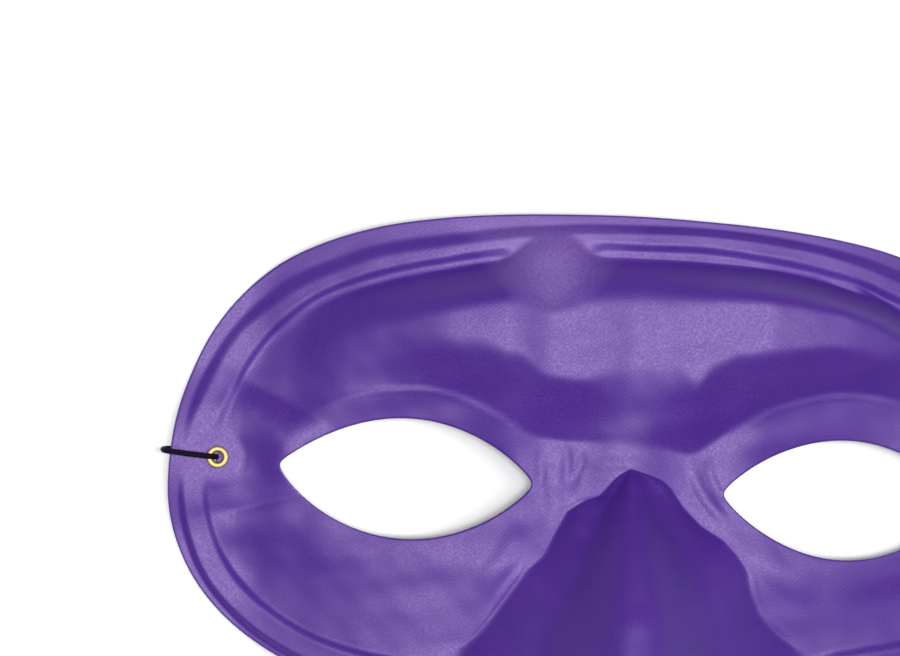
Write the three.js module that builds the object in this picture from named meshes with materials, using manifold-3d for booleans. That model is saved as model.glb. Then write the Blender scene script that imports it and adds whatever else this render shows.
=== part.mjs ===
// A satin half mask for the eyes and nose, lying on its back with the nose up.
//
// The mask is one thin moulded shell with two almond eye holes. A brass eyelet is set near each end,
// and one black elastic runs from eyelet to eyelet behind the face. It comes up through each eyelet,
// passes over the end of the mask, turns back beneath it and is knotted to itself.
//
// All sizes are in millimetres. The face frame has x across the face, y towards the forehead and z out
// of the face, with y = 0 on the line through the eyes and z = 0 on the surface that the mask lies on.
import * as THREE from "three";
import { mergeVertices } from "three/addons/utils/BufferGeometryUtils.js";
import Module from "manifold-3d";

const wasm = await Module();
wasm.setup();

// The face frame's y at the middle of the mask, which is where the group's own origin stands.
const MIDDLE_Y = 3;

// Right half of the outline, from the middle of the forehead down to the tip of the nose.
const OUTLINE_HALF = [
  [0, 52], [13, 51.7], [26, 51], [38, 49.7], [49, 47.6], [59, 44.2], [67.5, 39.6], [74.6, 33.1],
  [79.9, 25.7], [83.6, 17.4], [86, 9.4], [87, 1], [86.7, -7], [84.6, -14.6], [80.6, -22],
  [74.6, -28.6], [67, -34], [58, -38.2], [48, -40.9], [38.5, -41.6], [30, -40.4], [21.5, -41],
  [12.5, -43.6], [5, -45.6], [0, -46],
];

// The moulded shell.
const SHELL_THICKNESS = 1.4;
const MOST_SLANT = 2.6;
const WRAP_RISE = 13.5;
const WRAP_HALF_WIDTH = 74;
const WRAP_POWER = 3;
const FOREHEAD_DROOP = 2;

// The back is pressed flat by this much where the mask rests on the table.
const SEAT_FLAT = 0.12;

// The ends are arched off the table a little, where the elastic passes beneath them.
const ARCH = { rise: 2.4, y: 2.7, halfLength: 18, from: 38, to: 64 };

// The rim: a flat flange, an outer step up to a bead, and an inner step down to the rim's inner edge.
// The tables give x, the rim's width, how far in its two steps are, and the width of the slope beyond
// it, first along the upper edge and then along the lower one.
const UPPER_RIM = [
  [-87, 8.7, 2.6, 7.2, 9], [-84, 8.8, 2.5, 7.2, 9], [-80, 9.6, 3.1, 7.8, 9], [-75, 10.6, 3.6, 8.7, 9],
  [-68, 10.9, 4.4, 9, 9], [-59, 10.7, 4.7, 8.8, 9], [-49, 10.5, 4.5, 8.6, 9], [-38, 10, 4.4, 8.1, 8.6],
  [-26, 8.8, 3.6, 7, 8.4], [-13, 8.2, 2.8, 6, 8.8], [0, 8.2, 2.5, 6, 8.6], [13, 8, 2.1, 5.6, 7.6],
  [26, 8, 2.3, 6.1, 6.9], [38, 8.8, 2.8, 6.8, 5.8], [49, 9.8, 3.6, 7.8, 6], [59, 10.4, 4.2, 8.4, 7.5],
  [68, 10.7, 4.2, 8.7, 9], [75, 10.4, 3.5, 8.4, 9], [80, 9.6, 3, 7.8, 9], [84, 8.8, 2.5, 7.2, 9],
  [87, 8.7, 2.6, 7.2, 9],
];
const LOWER_RIM = [
  [-87, 8.7, 2.6, 7.2, 9], [-84, 8.8, 2.4, 7.2, 9], [-80, 8.9, 1.9, 7, 9], [-71, 9, 1.6, 6.6, 9],
  [-58, 9.2, 1.6, 6.5, 9], [-48, 9.4, 1.8, 6.8, 9], [-38, 9.2, 1.9, 6.6, 9], [0, 8.5, 1.8, 6.2, 9],
  [18, 8.8, 1.9, 6.4, 9], [26, 9.6, 2, 7.4, 9], [35, 12.2, 2.1, 10.2, 9], [41, 13.4, 2.2, 11.6, 9],
  [48, 13.8, 2.4, 12, 9], [58, 12.6, 2.4, 10.8, 9], [68, 10.5, 2.2, 8.6, 9], [80, 9, 2.2, 7.2, 9],
  [87, 8.7, 2.6, 7.2, 9],
];
const BEAD_RISE = 1;
const GROOVE_DROP = 0.9;
const OUTER_STEP = { least: 0.15, share: 0.3 };
const INNER_STEP = 0.9;

// The forehead rises from the rim and drops at the brow, on a line across the lids and the bridge.
const HEAD_STRAIGHT = 0.4;
// Left of the middle the forehead runs out to the rim in one gentle slope.
const PATCH = {
  x: -17, halfWidth: 10, y: 40, halfHeight: 13, start: 5, extra: 0.8, step: 14, straight: 0.55, dip: 0.5,
};
const BROW_LINE = [
  [-76, 2], [-70, 7], [-63, 11.7], [-57.4, 14.3], [-50.5, 16.5], [-44.2, 17.3], [-38.5, 17.4],
  [-32.7, 16.2], [-25, 12.8], [-18.9, 9.4], [-12, 8.7], [-5.6, 8.7], [0, 8.8], [5.5, 8.2],
  [11.7, 7.4], [16, 9.8], [20.85, 13.3], [26.4, 16.6], [32, 18.7], [40.5, 20.4], [51, 19.4],
  [58, 17], [64, 13.5], [70, 8], [76, 2],
];
// The brow's slope, as x, its width, the share of it that is straight, and how far it drops.
const BROW_DROP = [
  [-76, 20, 0.2, 0], [-66, 20, 0.2, 0.9], [-56, 20, 0.2, 1.9], [-48, 13, 0.4, 3.1], [-38, 10.5, 0.6, 4.5],
  [-26, 12, 0.8, 5.5], [-16, 12.5, 0.9, 5.9], [-10, 12.5, 0.85, 5.8], [-5, 16, 0.5, 5.6], [0, 21, 0.3, 5.4],
  [5, 18, 0.4, 5.8], [10, 15, 0.75, 6.5], [16, 13.5, 0.85, 7], [26, 11, 0.8, 6.5], [38, 9.8, 0.75, 5.8],
  [48, 9.8, 0.6, 5], [56, 14, 0.4, 4], [66, 18, 0.2, 1.5], [76, 20, 0.2, 0],
];
const BRIDGE = { rise: 2.8, halfWidth: 7.5, foot: -22, top: 6 };
const SOCKET = { depth: 1.6, halfWidth: 27, y: 4, halfHeight: 18 };
const LID = { rise: 1.8, straight: 0.8 };
const CHEEK = { rise: 1.4, width: 16 };

// The eye holes, mirrored about x = 0. The outer corner is a little higher than the inner one.
const EYE = {
  x: 42.3, halfWidth: 23.8, upper: 11.3, lower: 11.6, cornerLift: 1.3, roundness: 1.72, cornerRound: 0.022,
};

// The nose: the height of its ridge above the cheeks, and the crease that runs down each side of it.
const NOSE_TOP_Y = 4;
const NOSE_RIDGE = [
  [4, 0], [2, 1.9], [-2, 5.1], [-6, 8], [-10, 10.7], [-15, 13.9], [-20, 16.9], [-25, 19.7],
  [-30, 22.2], [-36, 24.8], [-42, 26.6], [-47, 27.6],
];
const LEFT_CREASE = [
  [0, 4], [-1.4, 3.1], [-2.7, 2], [-3.9, 0.6], [-5.5, -1.4], [-8.1, -2.4], [-11.5, -4.8],
  [-13.6, -9], [-15.8, -13.6], [-19.2, -16.6], [-22.6, -21.8], [-24.9, -25.4], [-27.3, -28.9],
];
const RIGHT_CREASE = [
  [0, 4], [3.6, 3], [6.4, 2], [8.3, 0.4], [10.6, -2.9], [14.2, -6.3], [18.8, -9], [21.5, -11.8],
  [23.6, -14.6], [24.4, -18], [26.6, -22.6], [30.4, -26.2],
];
// Each crease runs on over the rim to its foot; the corner is where it meets the inner edge of the rim.
const LEFT_CORNER = [-29.8, -31.9];
const RIGHT_CORNER = [34.6, -28.9];
const LEFT_FOOT = [-36, -47];
const RIGHT_FOOT = [39.5, -47];
const NOSE_CORE_SHARE = 0.35;
const NOSE_CORE_WIDTH = 0.56;
const NOSE_RIDGE_ROUNDNESS = 0.24;
const NOSE_BLUR = 9;

// Eyelets, elastic and knots.
const EYELET = { x: 77.9, y: 2, segments: 14 };
const EYELET_PROFILE = [
  [1.24, 0.2], [1.9, 0.2], [2.2, 0.36], [2.14, 0.6], [1.8, 0.72], [1.44, 0.58], [1.16, 0.2],
  [1.1, -0.4], [1.1, -1.75], [1.36, -2.2], [1.74, -2.12], [1.86, -1.8], [1.7, -1.62], [1.24, -1.62],
];
const SHELL_HOLE_RADIUS = 1.5;
const PAD_RADIUS = 3.2;
const PAD_END = 6.5;
const CORD_RADIUS = 0.55;
const CORD_SIDES = 8;
const KNOT = { x: 62, y: 14, z: 1.22, halfLength: 2, halfWidth: 1.5, halfHeight: 1.15 };

// The elastic's route on the right side: out of the knot, up through the eyelet, over the end of the
// mask and back beneath it into the knot. The left side mirrors it.
const LOOP = [
  [62.4, 13.4, 0.95], [66.5, 9.4, 0.66], [71, 4, 0.64], [75.5, 2, 0.76], [77.24, 2, 1.36],
  [77.9, 2, 2.98], [78.56, 2.05, 4.66], [80.3, 2.15, 5.3], [86.1, 2.6, 5.16], [87.97, 2.8, 4.15],
  [87.97, 3, 1.82], [86.1, 3.2, 0.84], [82.3, 4.9, 0.66], [71.5, 11.8, 0.64], [62.4, 14.4, 0.95],
];
const LOOP_STEPS = 40;
// Its route from the left knot to the right knot, laid in two flat folds behind the forehead.
const RUN = [
  [-61.6, 14.2, 0.95], [-52, 17.4, 0.64], [-20, 20.6, 0.62], [19, 21, 0.62], [25.8, 27.6, 0.62],
  [19, 34.2, 0.62], [-8, 34.4, 0.62], [-14.2, 40.4, 0.62], [-8, 46.4, 0.62], [16, 45.4, 0.62],
  [45, 33.5, 0.64], [61.6, 14.2, 0.95],
];
const RUN_STEPS = 50;

// Counts of facets.
const OUTLINE_STEPS = 100;
const CENTRE_STEPS = 8;
const CREASE_STEPS = 10;
const EYE_RINGS = [0, 0.07, 0.18, 0.33, 0.5, 0.68, 0.86, 1];

const satin = new THREE.MeshStandardMaterial({ color: 0x5f3d97, roughness: 0.45, metalness: 0 });
const brass = new THREE.MeshStandardMaterial({ color: 0xd9b45a, roughness: 0.3, metalness: 1 });
const elastic = new THREE.MeshStandardMaterial({ color: 0x17131c, roughness: 0.85, metalness: 0 });

function smooth(low, high, value) {
  const t = Math.min(1, Math.max(0, (value - low) / (high - low)));
  return t * t * (3 - 2 * t);
}

function bell(value) {
  return Math.exp(-value * value);
}

// A compact hump: 1 at the middle, and flat 0 from a distance of 1 on.
function hump(value) {
  return Math.abs(value) < 1 ? (1 - value * value) ** 2 : 0;
}

// A slope from 0 to 1 that starts at once, stays straight for a share of its length and then levels off.
function eased(value, straight) {
  const t = Math.min(1, Math.max(0, value));
  const bent = Math.max(0, t - straight);
  return ((t - bent ** 2 / (2 * (1 - straight))) * 2) / (1 + straight);
}

// Reads a table of [place, value] pairs whose places fall steadily.
function along(table, place) {
  if (place >= table[0][0]) return table[0][1];
  for (let i = 1; i < table.length; i++) {
    const [nextPlace, nextValue] = table[i];
    const [lastPlace, lastValue] = table[i - 1];
    if (place >= nextPlace) {
      const t = (lastPlace - place) / (lastPlace - nextPlace);
      return lastValue + t * (nextValue - lastValue);
    }
  }
  return table[table.length - 1][1];
}

// Reads a table of rows whose first values rise steadily.
function reading(table, place, column) {
  const next = table.findIndex((row) => row[0] > place);
  if (next < 1) return table[next < 0 ? table.length - 1 : 0][column];
  const [low, high] = [table[next - 1], table[next]];
  return low[column] + ((place - low[0]) / (high[0] - low[0])) * (high[column] - low[column]);
}

// The closed outline as a dense line, through the control points and their mirror images.
function outlineLine(stepsPerPoint) {
  const left = OUTLINE_HALF.slice(1, -1).reverse().map(([x, y]) => [-x, y]);
  const points = [...OUTLINE_HALF, ...left];
  const n = points.length;
  const line = [];
  for (let i = 0; i < n; i++) {
    const [a, b, c, d] = [points[(i + n - 1) % n], points[i], points[(i + 1) % n], points[(i + 2) % n]];
    for (let k = 0; k < stepsPerPoint; k++) {
      const t = k / stepsPerPoint;
      line.push([0, 1].map((axis) => {
        const linear = c[axis] - a[axis];
        const square = 2 * a[axis] - 5 * b[axis] + 4 * c[axis] - d[axis];
        const cube = 3 * b[axis] - a[axis] - 3 * c[axis] + d[axis];
        return 0.5 * (2 * b[axis] + linear * t + square * t * t + cube * t * t * t);
      }));
    }
  }
  return line;
}

// Points at equal distances along an open line.
function resample(line, steps) {
  const lengths = [0];
  for (let i = 1; i < line.length; i++) {
    const [dx, dy] = [line[i][0] - line[i - 1][0], line[i][1] - line[i - 1][1]];
    lengths.push(lengths[i - 1] + Math.hypot(dx, dy));
  }
  const points = [];
  let i = 1;
  for (let k = 0; k <= steps; k++) {
    const goal = (lengths[lengths.length - 1] * k) / steps;
    while (i < line.length - 1 && lengths[i] < goal) i++;
    const t = (goal - lengths[i - 1]) / (lengths[i] - lengths[i - 1]);
    points.push([0, 1].map((axis) => line[i - 1][axis] + t * (line[i][axis] - line[i - 1][axis])));
  }
  return points;
}

function distanceTo(line, x, y, closed = true) {
  let best = Infinity;
  for (let i = 0; i < line.length - (closed ? 0 : 1); i++) {
    const [ax, ay] = line[i];
    const [bx, by] = line[(i + 1) % line.length];
    const [dx, dy] = [bx - ax, by - ay];
    const t = Math.min(1, Math.max(0, ((x - ax) * dx + (y - ay) * dy) / (dx * dx + dy * dy)));
    best = Math.min(best, Math.hypot(x - ax - t * dx, y - ay - t * dy));
  }
  return best;
}

// A point of the eye hole's edge on the right side: angle 0 is the outer corner, a quarter turn the top.
function eyePoint(angle) {
  const [c, s] = [Math.cos(angle), Math.sin(angle)];
  const height = s > 0 ? EYE.upper : EYE.lower;
  const lift = EYE.cornerLift * Math.max(0, c) ** 5;
  const fromCorner = 1 - Math.abs(c);
  const fuller = fromCorner + EYE.cornerRound - Math.hypot(fromCorner, EYE.cornerRound);
  const x = EYE.x + EYE.halfWidth * (c + fuller * c * Math.abs(c));
  return [x, lift + Math.sign(s) * height * Math.abs(s) ** EYE.roundness];
}

const OUTLINE = outlineLine(6);
const EYE_EDGE = Array.from({ length: 96 }, (_, i) => eyePoint((i / 96) * 2 * Math.PI));

// Reads the tables of the rim: column 1 is its width, 2 and 3 its steps, 4 the slope beyond it.
function rimAt(x, y, column) {
  const [low, high] = [LOWER_RIM, UPPER_RIM].map((table) => reading(table, x, column));
  return low + (high - low) * smooth(-8, 8, y);
}

// How far in each side of the rim's outer step is.
function outerStep(x, y) {
  const middle = rimAt(x, y, 2);
  const reach = OUTER_STEP.least + OUTER_STEP.share * middle;
  return [middle - reach, middle + reach];
}

function patch(x, y) {
  return hump((x - PATCH.x) / PATCH.halfWidth) * smooth(10, 20, y);
}

// The rings of the rim, each a closed line of plan points from the edge of the mask inwards.
function rimRings(steps) {
  const edge = resample([...OUTLINE, OUTLINE[0]], steps).slice(0, -1);
  const columns = edge.map(([x, y], i) => {
    const [ax, ay] = edge[(i + steps - 1) % steps];
    const [bx, by] = edge[(i + 1) % steps];
    const length = Math.hypot(bx - ax, by - ay);
    const inner = rimAt(x, y, 3);
    const insets = [0, ...outerStep(x, y), inner - INNER_STEP, inner + INNER_STEP, rimAt(x, y, 1)];
    return insets.map((inset) => [x + ((by - ay) / length) * inset, y - ((bx - ax) / length) * inset]);
  });
  return columns[0].map((_, ring) => columns.map((column) => column[ring]));
}

function nearest(line, [x, y]) {
  const distances = line.map(([a, b]) => Math.hypot(a - x, b - y));
  return distances.indexOf(Math.min(...distances));
}

const RIM = rimRings(OUTLINE_STEPS);
const RIM_INNER = RIM[RIM.length - 1];
const LEFT_CORNER_INDEX = nearest(RIM_INNER, LEFT_CORNER);
const RIGHT_CORNER_INDEX = nearest(RIM_INNER, RIGHT_CORNER);
const LEFT_LINE = [...LEFT_CREASE, RIM_INNER[LEFT_CORNER_INDEX]];
const RIGHT_LINE = [...RIGHT_CREASE, RIM_INNER[RIGHT_CORNER_INDEX]];
const LEFT_TABLE = [...LEFT_LINE, LEFT_FOOT].map(([x, y]) => [y, -x]);
const RIGHT_TABLE = [...RIGHT_LINE, RIGHT_FOOT].map(([x, y]) => [y, x]);
const CREASE_LINE = [LEFT_FOOT, ...LEFT_LINE.slice(1).reverse(), ...RIGHT_LINE, RIGHT_FOOT];

// How far a crease of the nose is from the middle, averaged over a stretch above and below y.
function softCrease(table, y) {
  const reach = Math.min(NOSE_BLUR, 0.9 * (NOSE_TOP_Y - y));
  const shares = [-1, -0.75, -0.5, -0.25, 0, 0.25, 0.5, 0.75, 1];
  return shares.reduce((sum, share) => sum + along(table, y + reach * share), 0) / shares.length;
}

// The nose's height above the cheeks: a rounded ridge with a narrow core and a wide skirt. It follows
// every turn of the creases beside them, and their general run nearer the ridge.
function noseHeight(x, y) {
  const table = x < 0 ? LEFT_TABLE : RIGHT_TABLE;
  if (y >= NOSE_TOP_Y || Math.abs(x) >= along(table, y)) return 0;
  const [inside, middle] = [x, 0].map((place) => distanceTo(CREASE_LINE, place, y, false));
  const nearCrease = smooth(0.35, 0.95, Math.abs(x) / along(table, y));
  const soft = Math.abs(x) / softCrease(table, y);
  const across = Math.min(1, Math.max(0, soft + nearCrease * (1 - inside / middle - soft)));
  const round = NOSE_RIDGE_ROUNDNESS;
  const full = Math.hypot(1, round);
  const skirt = (full - Math.hypot(across, round)) / (full - round);
  const core = across < NOSE_CORE_WIDTH ? (1 - (across / NOSE_CORE_WIDTH) ** 2) ** 1.5 : 0;
  return along(NOSE_RIDGE, y) * (NOSE_CORE_SHARE * core + (1 - NOSE_CORE_SHARE) * skirt);
}

// The step from the flange up to the bead and down again, which fades out below the nose and
// beside the eyelets.
function bead(x, y) {
  const inset = distanceTo(OUTLINE, x, y);
  const inner = rimAt(x, y, 3);
  const up = BEAD_RISE * smooth(...outerStep(x, y), inset);
  const down = GROOVE_DROP * smooth(inner - INNER_STEP, inner + INNER_STEP + PATCH.step * patch(x, y), inset);
  const crease = along(x < 0 ? LEFT_TABLE : RIGHT_TABLE, y);
  const besideNose = y < 0 ? smooth(1.02, 1.25, Math.abs(x) / crease) : 1;
  const besideEyelet = 1 - smooth(60, 70, Math.abs(x)) * hump((y - EYELET.y) / 11);
  return (up - down) * besideNose * besideEyelet;
}

// The forehead's height over the eyes, with the bridge of the nose and the upper lids below it.
function brow(x, y, inset, fromEye) {
  const lean = (reading(BROW_LINE, x + 1, 1) - reading(BROW_LINE, x - 1, 1)) / 2;
  const over = (y - reading(BROW_LINE, x, 1)) / Math.hypot(1, lean);
  const [width, straight, drop] = [1, 2, 3].map((column) => reading(BROW_DROP, x, column));
  const onPatch = patch(x, y);
  const headWidth = rimAt(x, y, 4) * (1 + PATCH.extra * onPatch);
  const fromRim = inset - rimAt(x, y, 1) + PATCH.start * onPatch;
  const rise = eased(fromRim / headWidth, HEAD_STRAIGHT + PATCH.straight * onPatch);
  const bridge = BRIDGE.rise * bell(x / BRIDGE.halfWidth);
  const dip = PATCH.dip * hump((y - PATCH.y) / PATCH.halfHeight) * onPatch;
  const forehead = (drop - bridge) * eased(over / width, straight) - dip;
  const across = Math.abs(x);
  const onLid = smooth(16, 26, across) * smooth(-66, -54, -across) * smooth(0, 6, y);
  const lid = LID.rise * eased(fromEye / (fromEye + Math.max(-over, 1e-6)), LID.straight) * onLid;
  return rise * (forehead + bridge * smooth(BRIDGE.foot, BRIDGE.top, y) + lid);
}

// The front of the shell without its bead, as a height above the table.
function plainFront(x, y) {
  const across = Math.abs(x);
  const inset = distanceTo(OUTLINE, x, y);
  const fromEye = distanceTo(EYE_EDGE, across, y);
  const rim = rimAt(x, y, 1);
  const u = across / WRAP_HALF_WIDTH;
  const wrapped = u < 1 ? (1 - u ** WRAP_POWER) ** 1.5 : 0;
  let z = SHELL_THICKNESS + WRAP_RISE * wrapped - FOREHEAD_DROOP * (y / 50) ** 2 * wrapped;
  z += ARCH.rise * hump((y - ARCH.y) / ARCH.halfLength) * smooth(ARCH.from, ARCH.to, across);
  z += brow(x, y, inset, fromEye);
  z -= SOCKET.depth * bell(x / SOCKET.halfWidth) * bell((y - SOCKET.y) / SOCKET.halfHeight);
  z += CHEEK.rise * smooth(0, 16, -y) * smooth(rim, rim + CHEEK.width, inset);
  z += noseHeight(x, y);

  const pad = 1 - smooth(PAD_RADIUS, PAD_END, Math.hypot(across - EYELET.x, y - EYELET.y));
  return z + pad * (SHELL_THICKNESS + ARCH.rise - z);
}

function front(x, y) {
  const padded = smooth(PAD_RADIUS, PAD_END, Math.hypot(Math.abs(x) - EYELET.x, y - EYELET.y));
  return plainFront(x, y) + bead(x, y) * padded;
}

// The back of the shell is smooth, and keeps the shell's thickness where the front slants.
function back(x, y) {
  const step = 0.6;
  const slopeX = (plainFront(x + step, y) - plainFront(x - step, y)) / (2 * step);
  const slopeY = (plainFront(x, y + step) - plainFront(x, y - step)) / (2 * step);
  const slant = Math.min(MOST_SLANT, Math.hypot(1, slopeX, slopeY));
  return Math.max(0, plainFront(x, y) - SHELL_THICKNESS * slant - SEAT_FLAT);
}

// The plan of the shell: points, and triangles that turn left as seen from the front.
class Plan {
  constructor() {
    this.points = [];
    this.triangles = [];
    this.places = new Map();
  }

  add([x, y]) {
    const key = `${Math.round(x * 1e5)} ${Math.round(y * 1e5)}`;
    if (!this.places.has(key)) {
      this.places.set(key, this.points.length);
      this.points.push([x, y]);
    }
    return this.places.get(key);
  }

  triangle(a, b, c) {
    if (a === b || b === c || a === c) return;
    const [[ax, ay], [bx, by], [cx, cy]] = [a, b, c].map((i) => this.points[i]);
    const turn = (bx - ax) * (cy - ay) - (cx - ax) * (by - ay);
    this.triangles.push(turn > 0 ? [a, b, c] : [a, c, b]);
  }

  // Fills the quads between the rows, each split along its shorter diagonal.
  grid(rows) {
    const ids = rows.map((row) => row.map((point) => this.add(point)));
    const gap = (a, b) => {
      const [p, q] = [this.points[a], this.points[b]];
      return Math.hypot(p[0] - q[0], p[1] - q[1], front(...p) - front(...q));
    };
    for (let i = 0; i + 1 < ids.length; i++) {
      for (let j = 0; j + 1 < ids[i].length; j++) {
        const [a, b, c, d] = [ids[i][j], ids[i][j + 1], ids[i + 1][j + 1], ids[i + 1][j]];
        if (gap(a, c) < gap(b, d)) {
          this.triangle(a, b, c);
          this.triangle(a, c, d);
        } else {
          this.triangle(a, b, d);
          this.triangle(b, c, d);
        }
      }
    }
  }

  // A closed shell between the front and the back, with a wall along every open edge of the plan.
  solid() {
    const n = this.points.length;
    const position = [
      ...this.points.flatMap(([x, y]) => [x, y, front(x, y)]),
      ...this.points.flatMap(([x, y]) => [x, y, back(x, y)]),
    ];
    const index = this.triangles.flatMap(([a, b, c]) => [a, b, c, a + n, c + n, b + n]);
    const edges = new Set(this.triangles.flatMap(([a, b, c]) => [`${a} ${b}`, `${b} ${c}`, `${c} ${a}`]));
    for (const edge of edges) {
      const [a, b] = edge.split(" ").map(Number);
      if (!edges.has(`${b} ${a}`)) index.push(b, a, a + n, b, a + n, b + n);
    }
    const geometry = new THREE.BufferGeometry();
    geometry.setAttribute("position", new THREE.Float32BufferAttribute(position, 3));
    geometry.setIndex(index);
    return geometry;
  }
}

// The cheek, brow and temple around one eye: lines fan out from the eye hole to the patch's border.
function eyePatch(side, crease, rimLine) {
  const top = RIM_INNER[0];
  const centre = Array.from({ length: CENTRE_STEPS }, (_, i) => {
    return [0, top[1] + ((NOSE_TOP_Y - top[1]) * i) / CENTRE_STEPS];
  });
  const border = [...centre, ...resample(crease, CREASE_STEPS).slice(0, -1), ...rimLine];
  const angles = border.map(([x, y]) => Math.atan2(y, x * side - EYE.x));
  for (const corner of [0, Math.PI]) {
    const away = angles.map((angle) => Math.abs(Math.sin((angle - corner) / 2)));
    angles[away.indexOf(Math.min(...away))] = corner;
  }
  return EYE_RINGS.map((share) => border.map((outer, i) => {
    const [x, y] = eyePoint(angles[i]);
    if (share === 1) return outer;
    return [x * side + share * (outer[0] - x * side), y + share * (outer[1] - y)];
  }));
}

// The nose between its two creases, down to the inner edge of the rim.
function nosePatch(foot) {
  const left = resample(LEFT_LINE, CREASE_STEPS);
  const right = resample(RIGHT_LINE, CREASE_STEPS);
  const [a, b] = [foot[0], foot[foot.length - 1]];
  return left.map((start, j) => foot.map((point, k) => {
    const t = (point[0] - a[0]) / (b[0] - a[0]);
    const end = right[j];
    if (k === 0) return start;
    if (k === foot.length - 1) return end;
    if (j === CREASE_STEPS) return point;
    const sag = (j / CREASE_STEPS) ** 2 * (point[1] - a[1] - t * (b[1] - a[1]));
    return [start[0] + t * (end[0] - start[0]), start[1] + t * (end[1] - start[1]) + sag];
  }));
}

function shellGeometry() {
  const plan = new Plan();
  plan.grid(RIM.map((ring) => [...ring, ring[0]]));
  const around = [...RIM_INNER, RIM_INNER[0]];
  const rightRim = around.slice(0, RIGHT_CORNER_INDEX + 1).reverse();
  const leftRim = around.slice(LEFT_CORNER_INDEX);
  plan.grid(eyePatch(1, RIGHT_LINE, rightRim));
  plan.grid(eyePatch(-1, LEFT_LINE, leftRim));
  plan.grid(nosePatch(around.slice(RIGHT_CORNER_INDEX, LEFT_CORNER_INDEX + 1).reverse()));
  return plan.solid();
}

function toManifold(geometry) {
  const bare = new THREE.BufferGeometry();
  bare.setAttribute("position", geometry.attributes.position);
  bare.setIndex(geometry.index);
  const merged = mergeVertices(bare, 1e-4);
  return new wasm.Manifold(new wasm.Mesh({
    numProp: 3,
    vertProperties: new Float32Array(merged.attributes.position.array),
    triVerts: new Uint32Array(merged.index.array),
  }));
}

function fromManifold(solid) {
  const mesh = solid.getMesh();
  const geometry = new THREE.BufferGeometry();
  const positions = [];
  for (let i = 0; i < mesh.numVert; i++) {
    positions.push(...mesh.vertProperties.slice(i * mesh.numProp, i * mesh.numProp + 3));
  }
  geometry.setAttribute("position", new THREE.Float32BufferAttribute(positions, 3));
  geometry.setIndex([...mesh.triVerts]);
  geometry.computeVertexNormals();
  return geometry;
}

// A turned part about the z axis through (x, y), from a closed profile of [radius, z] points.
function turned(profile, segments, x, y, z) {
  const points = [...profile, profile[0]].map(([radius, height]) => new THREE.Vector2(radius, height));
  const geometry = new THREE.LatheGeometry(points, segments);
  geometry.rotateX(Math.PI / 2);
  geometry.translate(x, y, z);
  return geometry;
}

// An elastic's tube along a route of hand-set points.
function tube(route, steps) {
  const path = new THREE.CatmullRomCurve3(route.map((point) => new THREE.Vector3(...point)));
  const section = new THREE.Shape(Array.from({ length: CORD_SIDES }, (_, i) => {
    const angle = (i / CORD_SIDES) * 2 * Math.PI;
    return new THREE.Vector2(CORD_RADIUS * Math.cos(angle), CORD_RADIUS * Math.sin(angle));
  }));
  return new THREE.ExtrudeGeometry(section, { steps, extrudePath: path, bevelEnabled: false });
}

function knot(side) {
  const geometry = new THREE.SphereGeometry(1, 10, 7);
  geometry.scale(KNOT.halfLength, KNOT.halfWidth, KNOT.halfHeight);
  geometry.rotateZ(-0.3 * side);
  geometry.translate(KNOT.x * side, KNOT.y, KNOT.z);
  return geometry;
}

function node(name, geometry, material) {
  geometry.computeVertexNormals();
  const mesh = new THREE.Mesh(geometry, material);
  mesh.name = name;
  mesh.position.y = -MIDDLE_Y;
  return mesh;
}

const mask = new THREE.Group();
mask.name = "domino_mask";
const padHeight = SHELL_THICKNESS + ARCH.rise;
let shell = toManifold(shellGeometry());
const loops = [];
for (const [side, name] of [[-1, "eyelet_left"], [1, "eyelet_right"]]) {
  const place = [EYELET.x * side, EYELET.y, padHeight];
  const punch = new THREE.CylinderGeometry(SHELL_HOLE_RADIUS, SHELL_HOLE_RADIUS, 12, EYELET.segments);
  punch.rotateX(Math.PI / 2).translate(...place);
  shell = shell.subtract(toManifold(punch));
  mask.add(node(name, turned(EYELET_PROFILE, EYELET.segments, ...place), brass));
  const route = LOOP.map(([x, y, z]) => [x * side, y, z]);
  loops.push(toManifold(tube(route, LOOP_STEPS)), toManifold(knot(side)));
}
mask.add(node("mask_shell", fromManifold(shell), satin));
const run = toManifold(tube(RUN, RUN_STEPS));
mask.add(node("elastic", fromManifold(loops.reduce((whole, piece) => whole.add(piece), run)), elastic));

export default mask;
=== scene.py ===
"""Dresses a purple satin half mask that lies on its back, with brass eyelets and a black elastic.

The mask's form is worked out in millimetres in the face frame of the part's source: x across the
face, y towards the forehead with y = 0 on the line through the eyes, and z up from the table.
Everything that Blender gets is in metres in the row frame.
"""

import logging
import math
from collections.abc import Sequence
from dataclasses import dataclass, field
from enum import Enum

import bpy
import numpy as np
from mathutils import Matrix, Vector


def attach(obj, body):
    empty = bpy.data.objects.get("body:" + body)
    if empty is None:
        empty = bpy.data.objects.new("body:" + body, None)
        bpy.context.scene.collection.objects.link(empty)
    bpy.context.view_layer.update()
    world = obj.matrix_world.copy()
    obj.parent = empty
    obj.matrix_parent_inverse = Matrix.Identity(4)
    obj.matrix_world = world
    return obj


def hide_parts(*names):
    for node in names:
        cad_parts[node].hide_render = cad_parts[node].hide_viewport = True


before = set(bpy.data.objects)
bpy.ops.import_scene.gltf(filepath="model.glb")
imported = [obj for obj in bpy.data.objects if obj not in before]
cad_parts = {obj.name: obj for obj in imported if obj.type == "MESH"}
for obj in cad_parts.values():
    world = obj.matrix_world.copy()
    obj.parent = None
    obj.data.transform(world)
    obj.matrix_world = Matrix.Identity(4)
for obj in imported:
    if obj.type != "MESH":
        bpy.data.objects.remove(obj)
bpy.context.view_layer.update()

log = logging.getLogger("mask")

MM = 0.001
MIDDLE_Y = 3.0
BODY = "root"

Array = np.ndarray
Inputs = bpy.types.NodeInputs
Material = bpy.types.Material
Mesh = bpy.types.Mesh
Node = bpy.types.Node
Object = bpy.types.Object
Outputs = bpy.types.NodeOutputs
Socket = bpy.types.NodeSocket
Tree = bpy.types.NodeTree
Colour = tuple[float, float, float, float]
Span = tuple[float, float]

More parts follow.
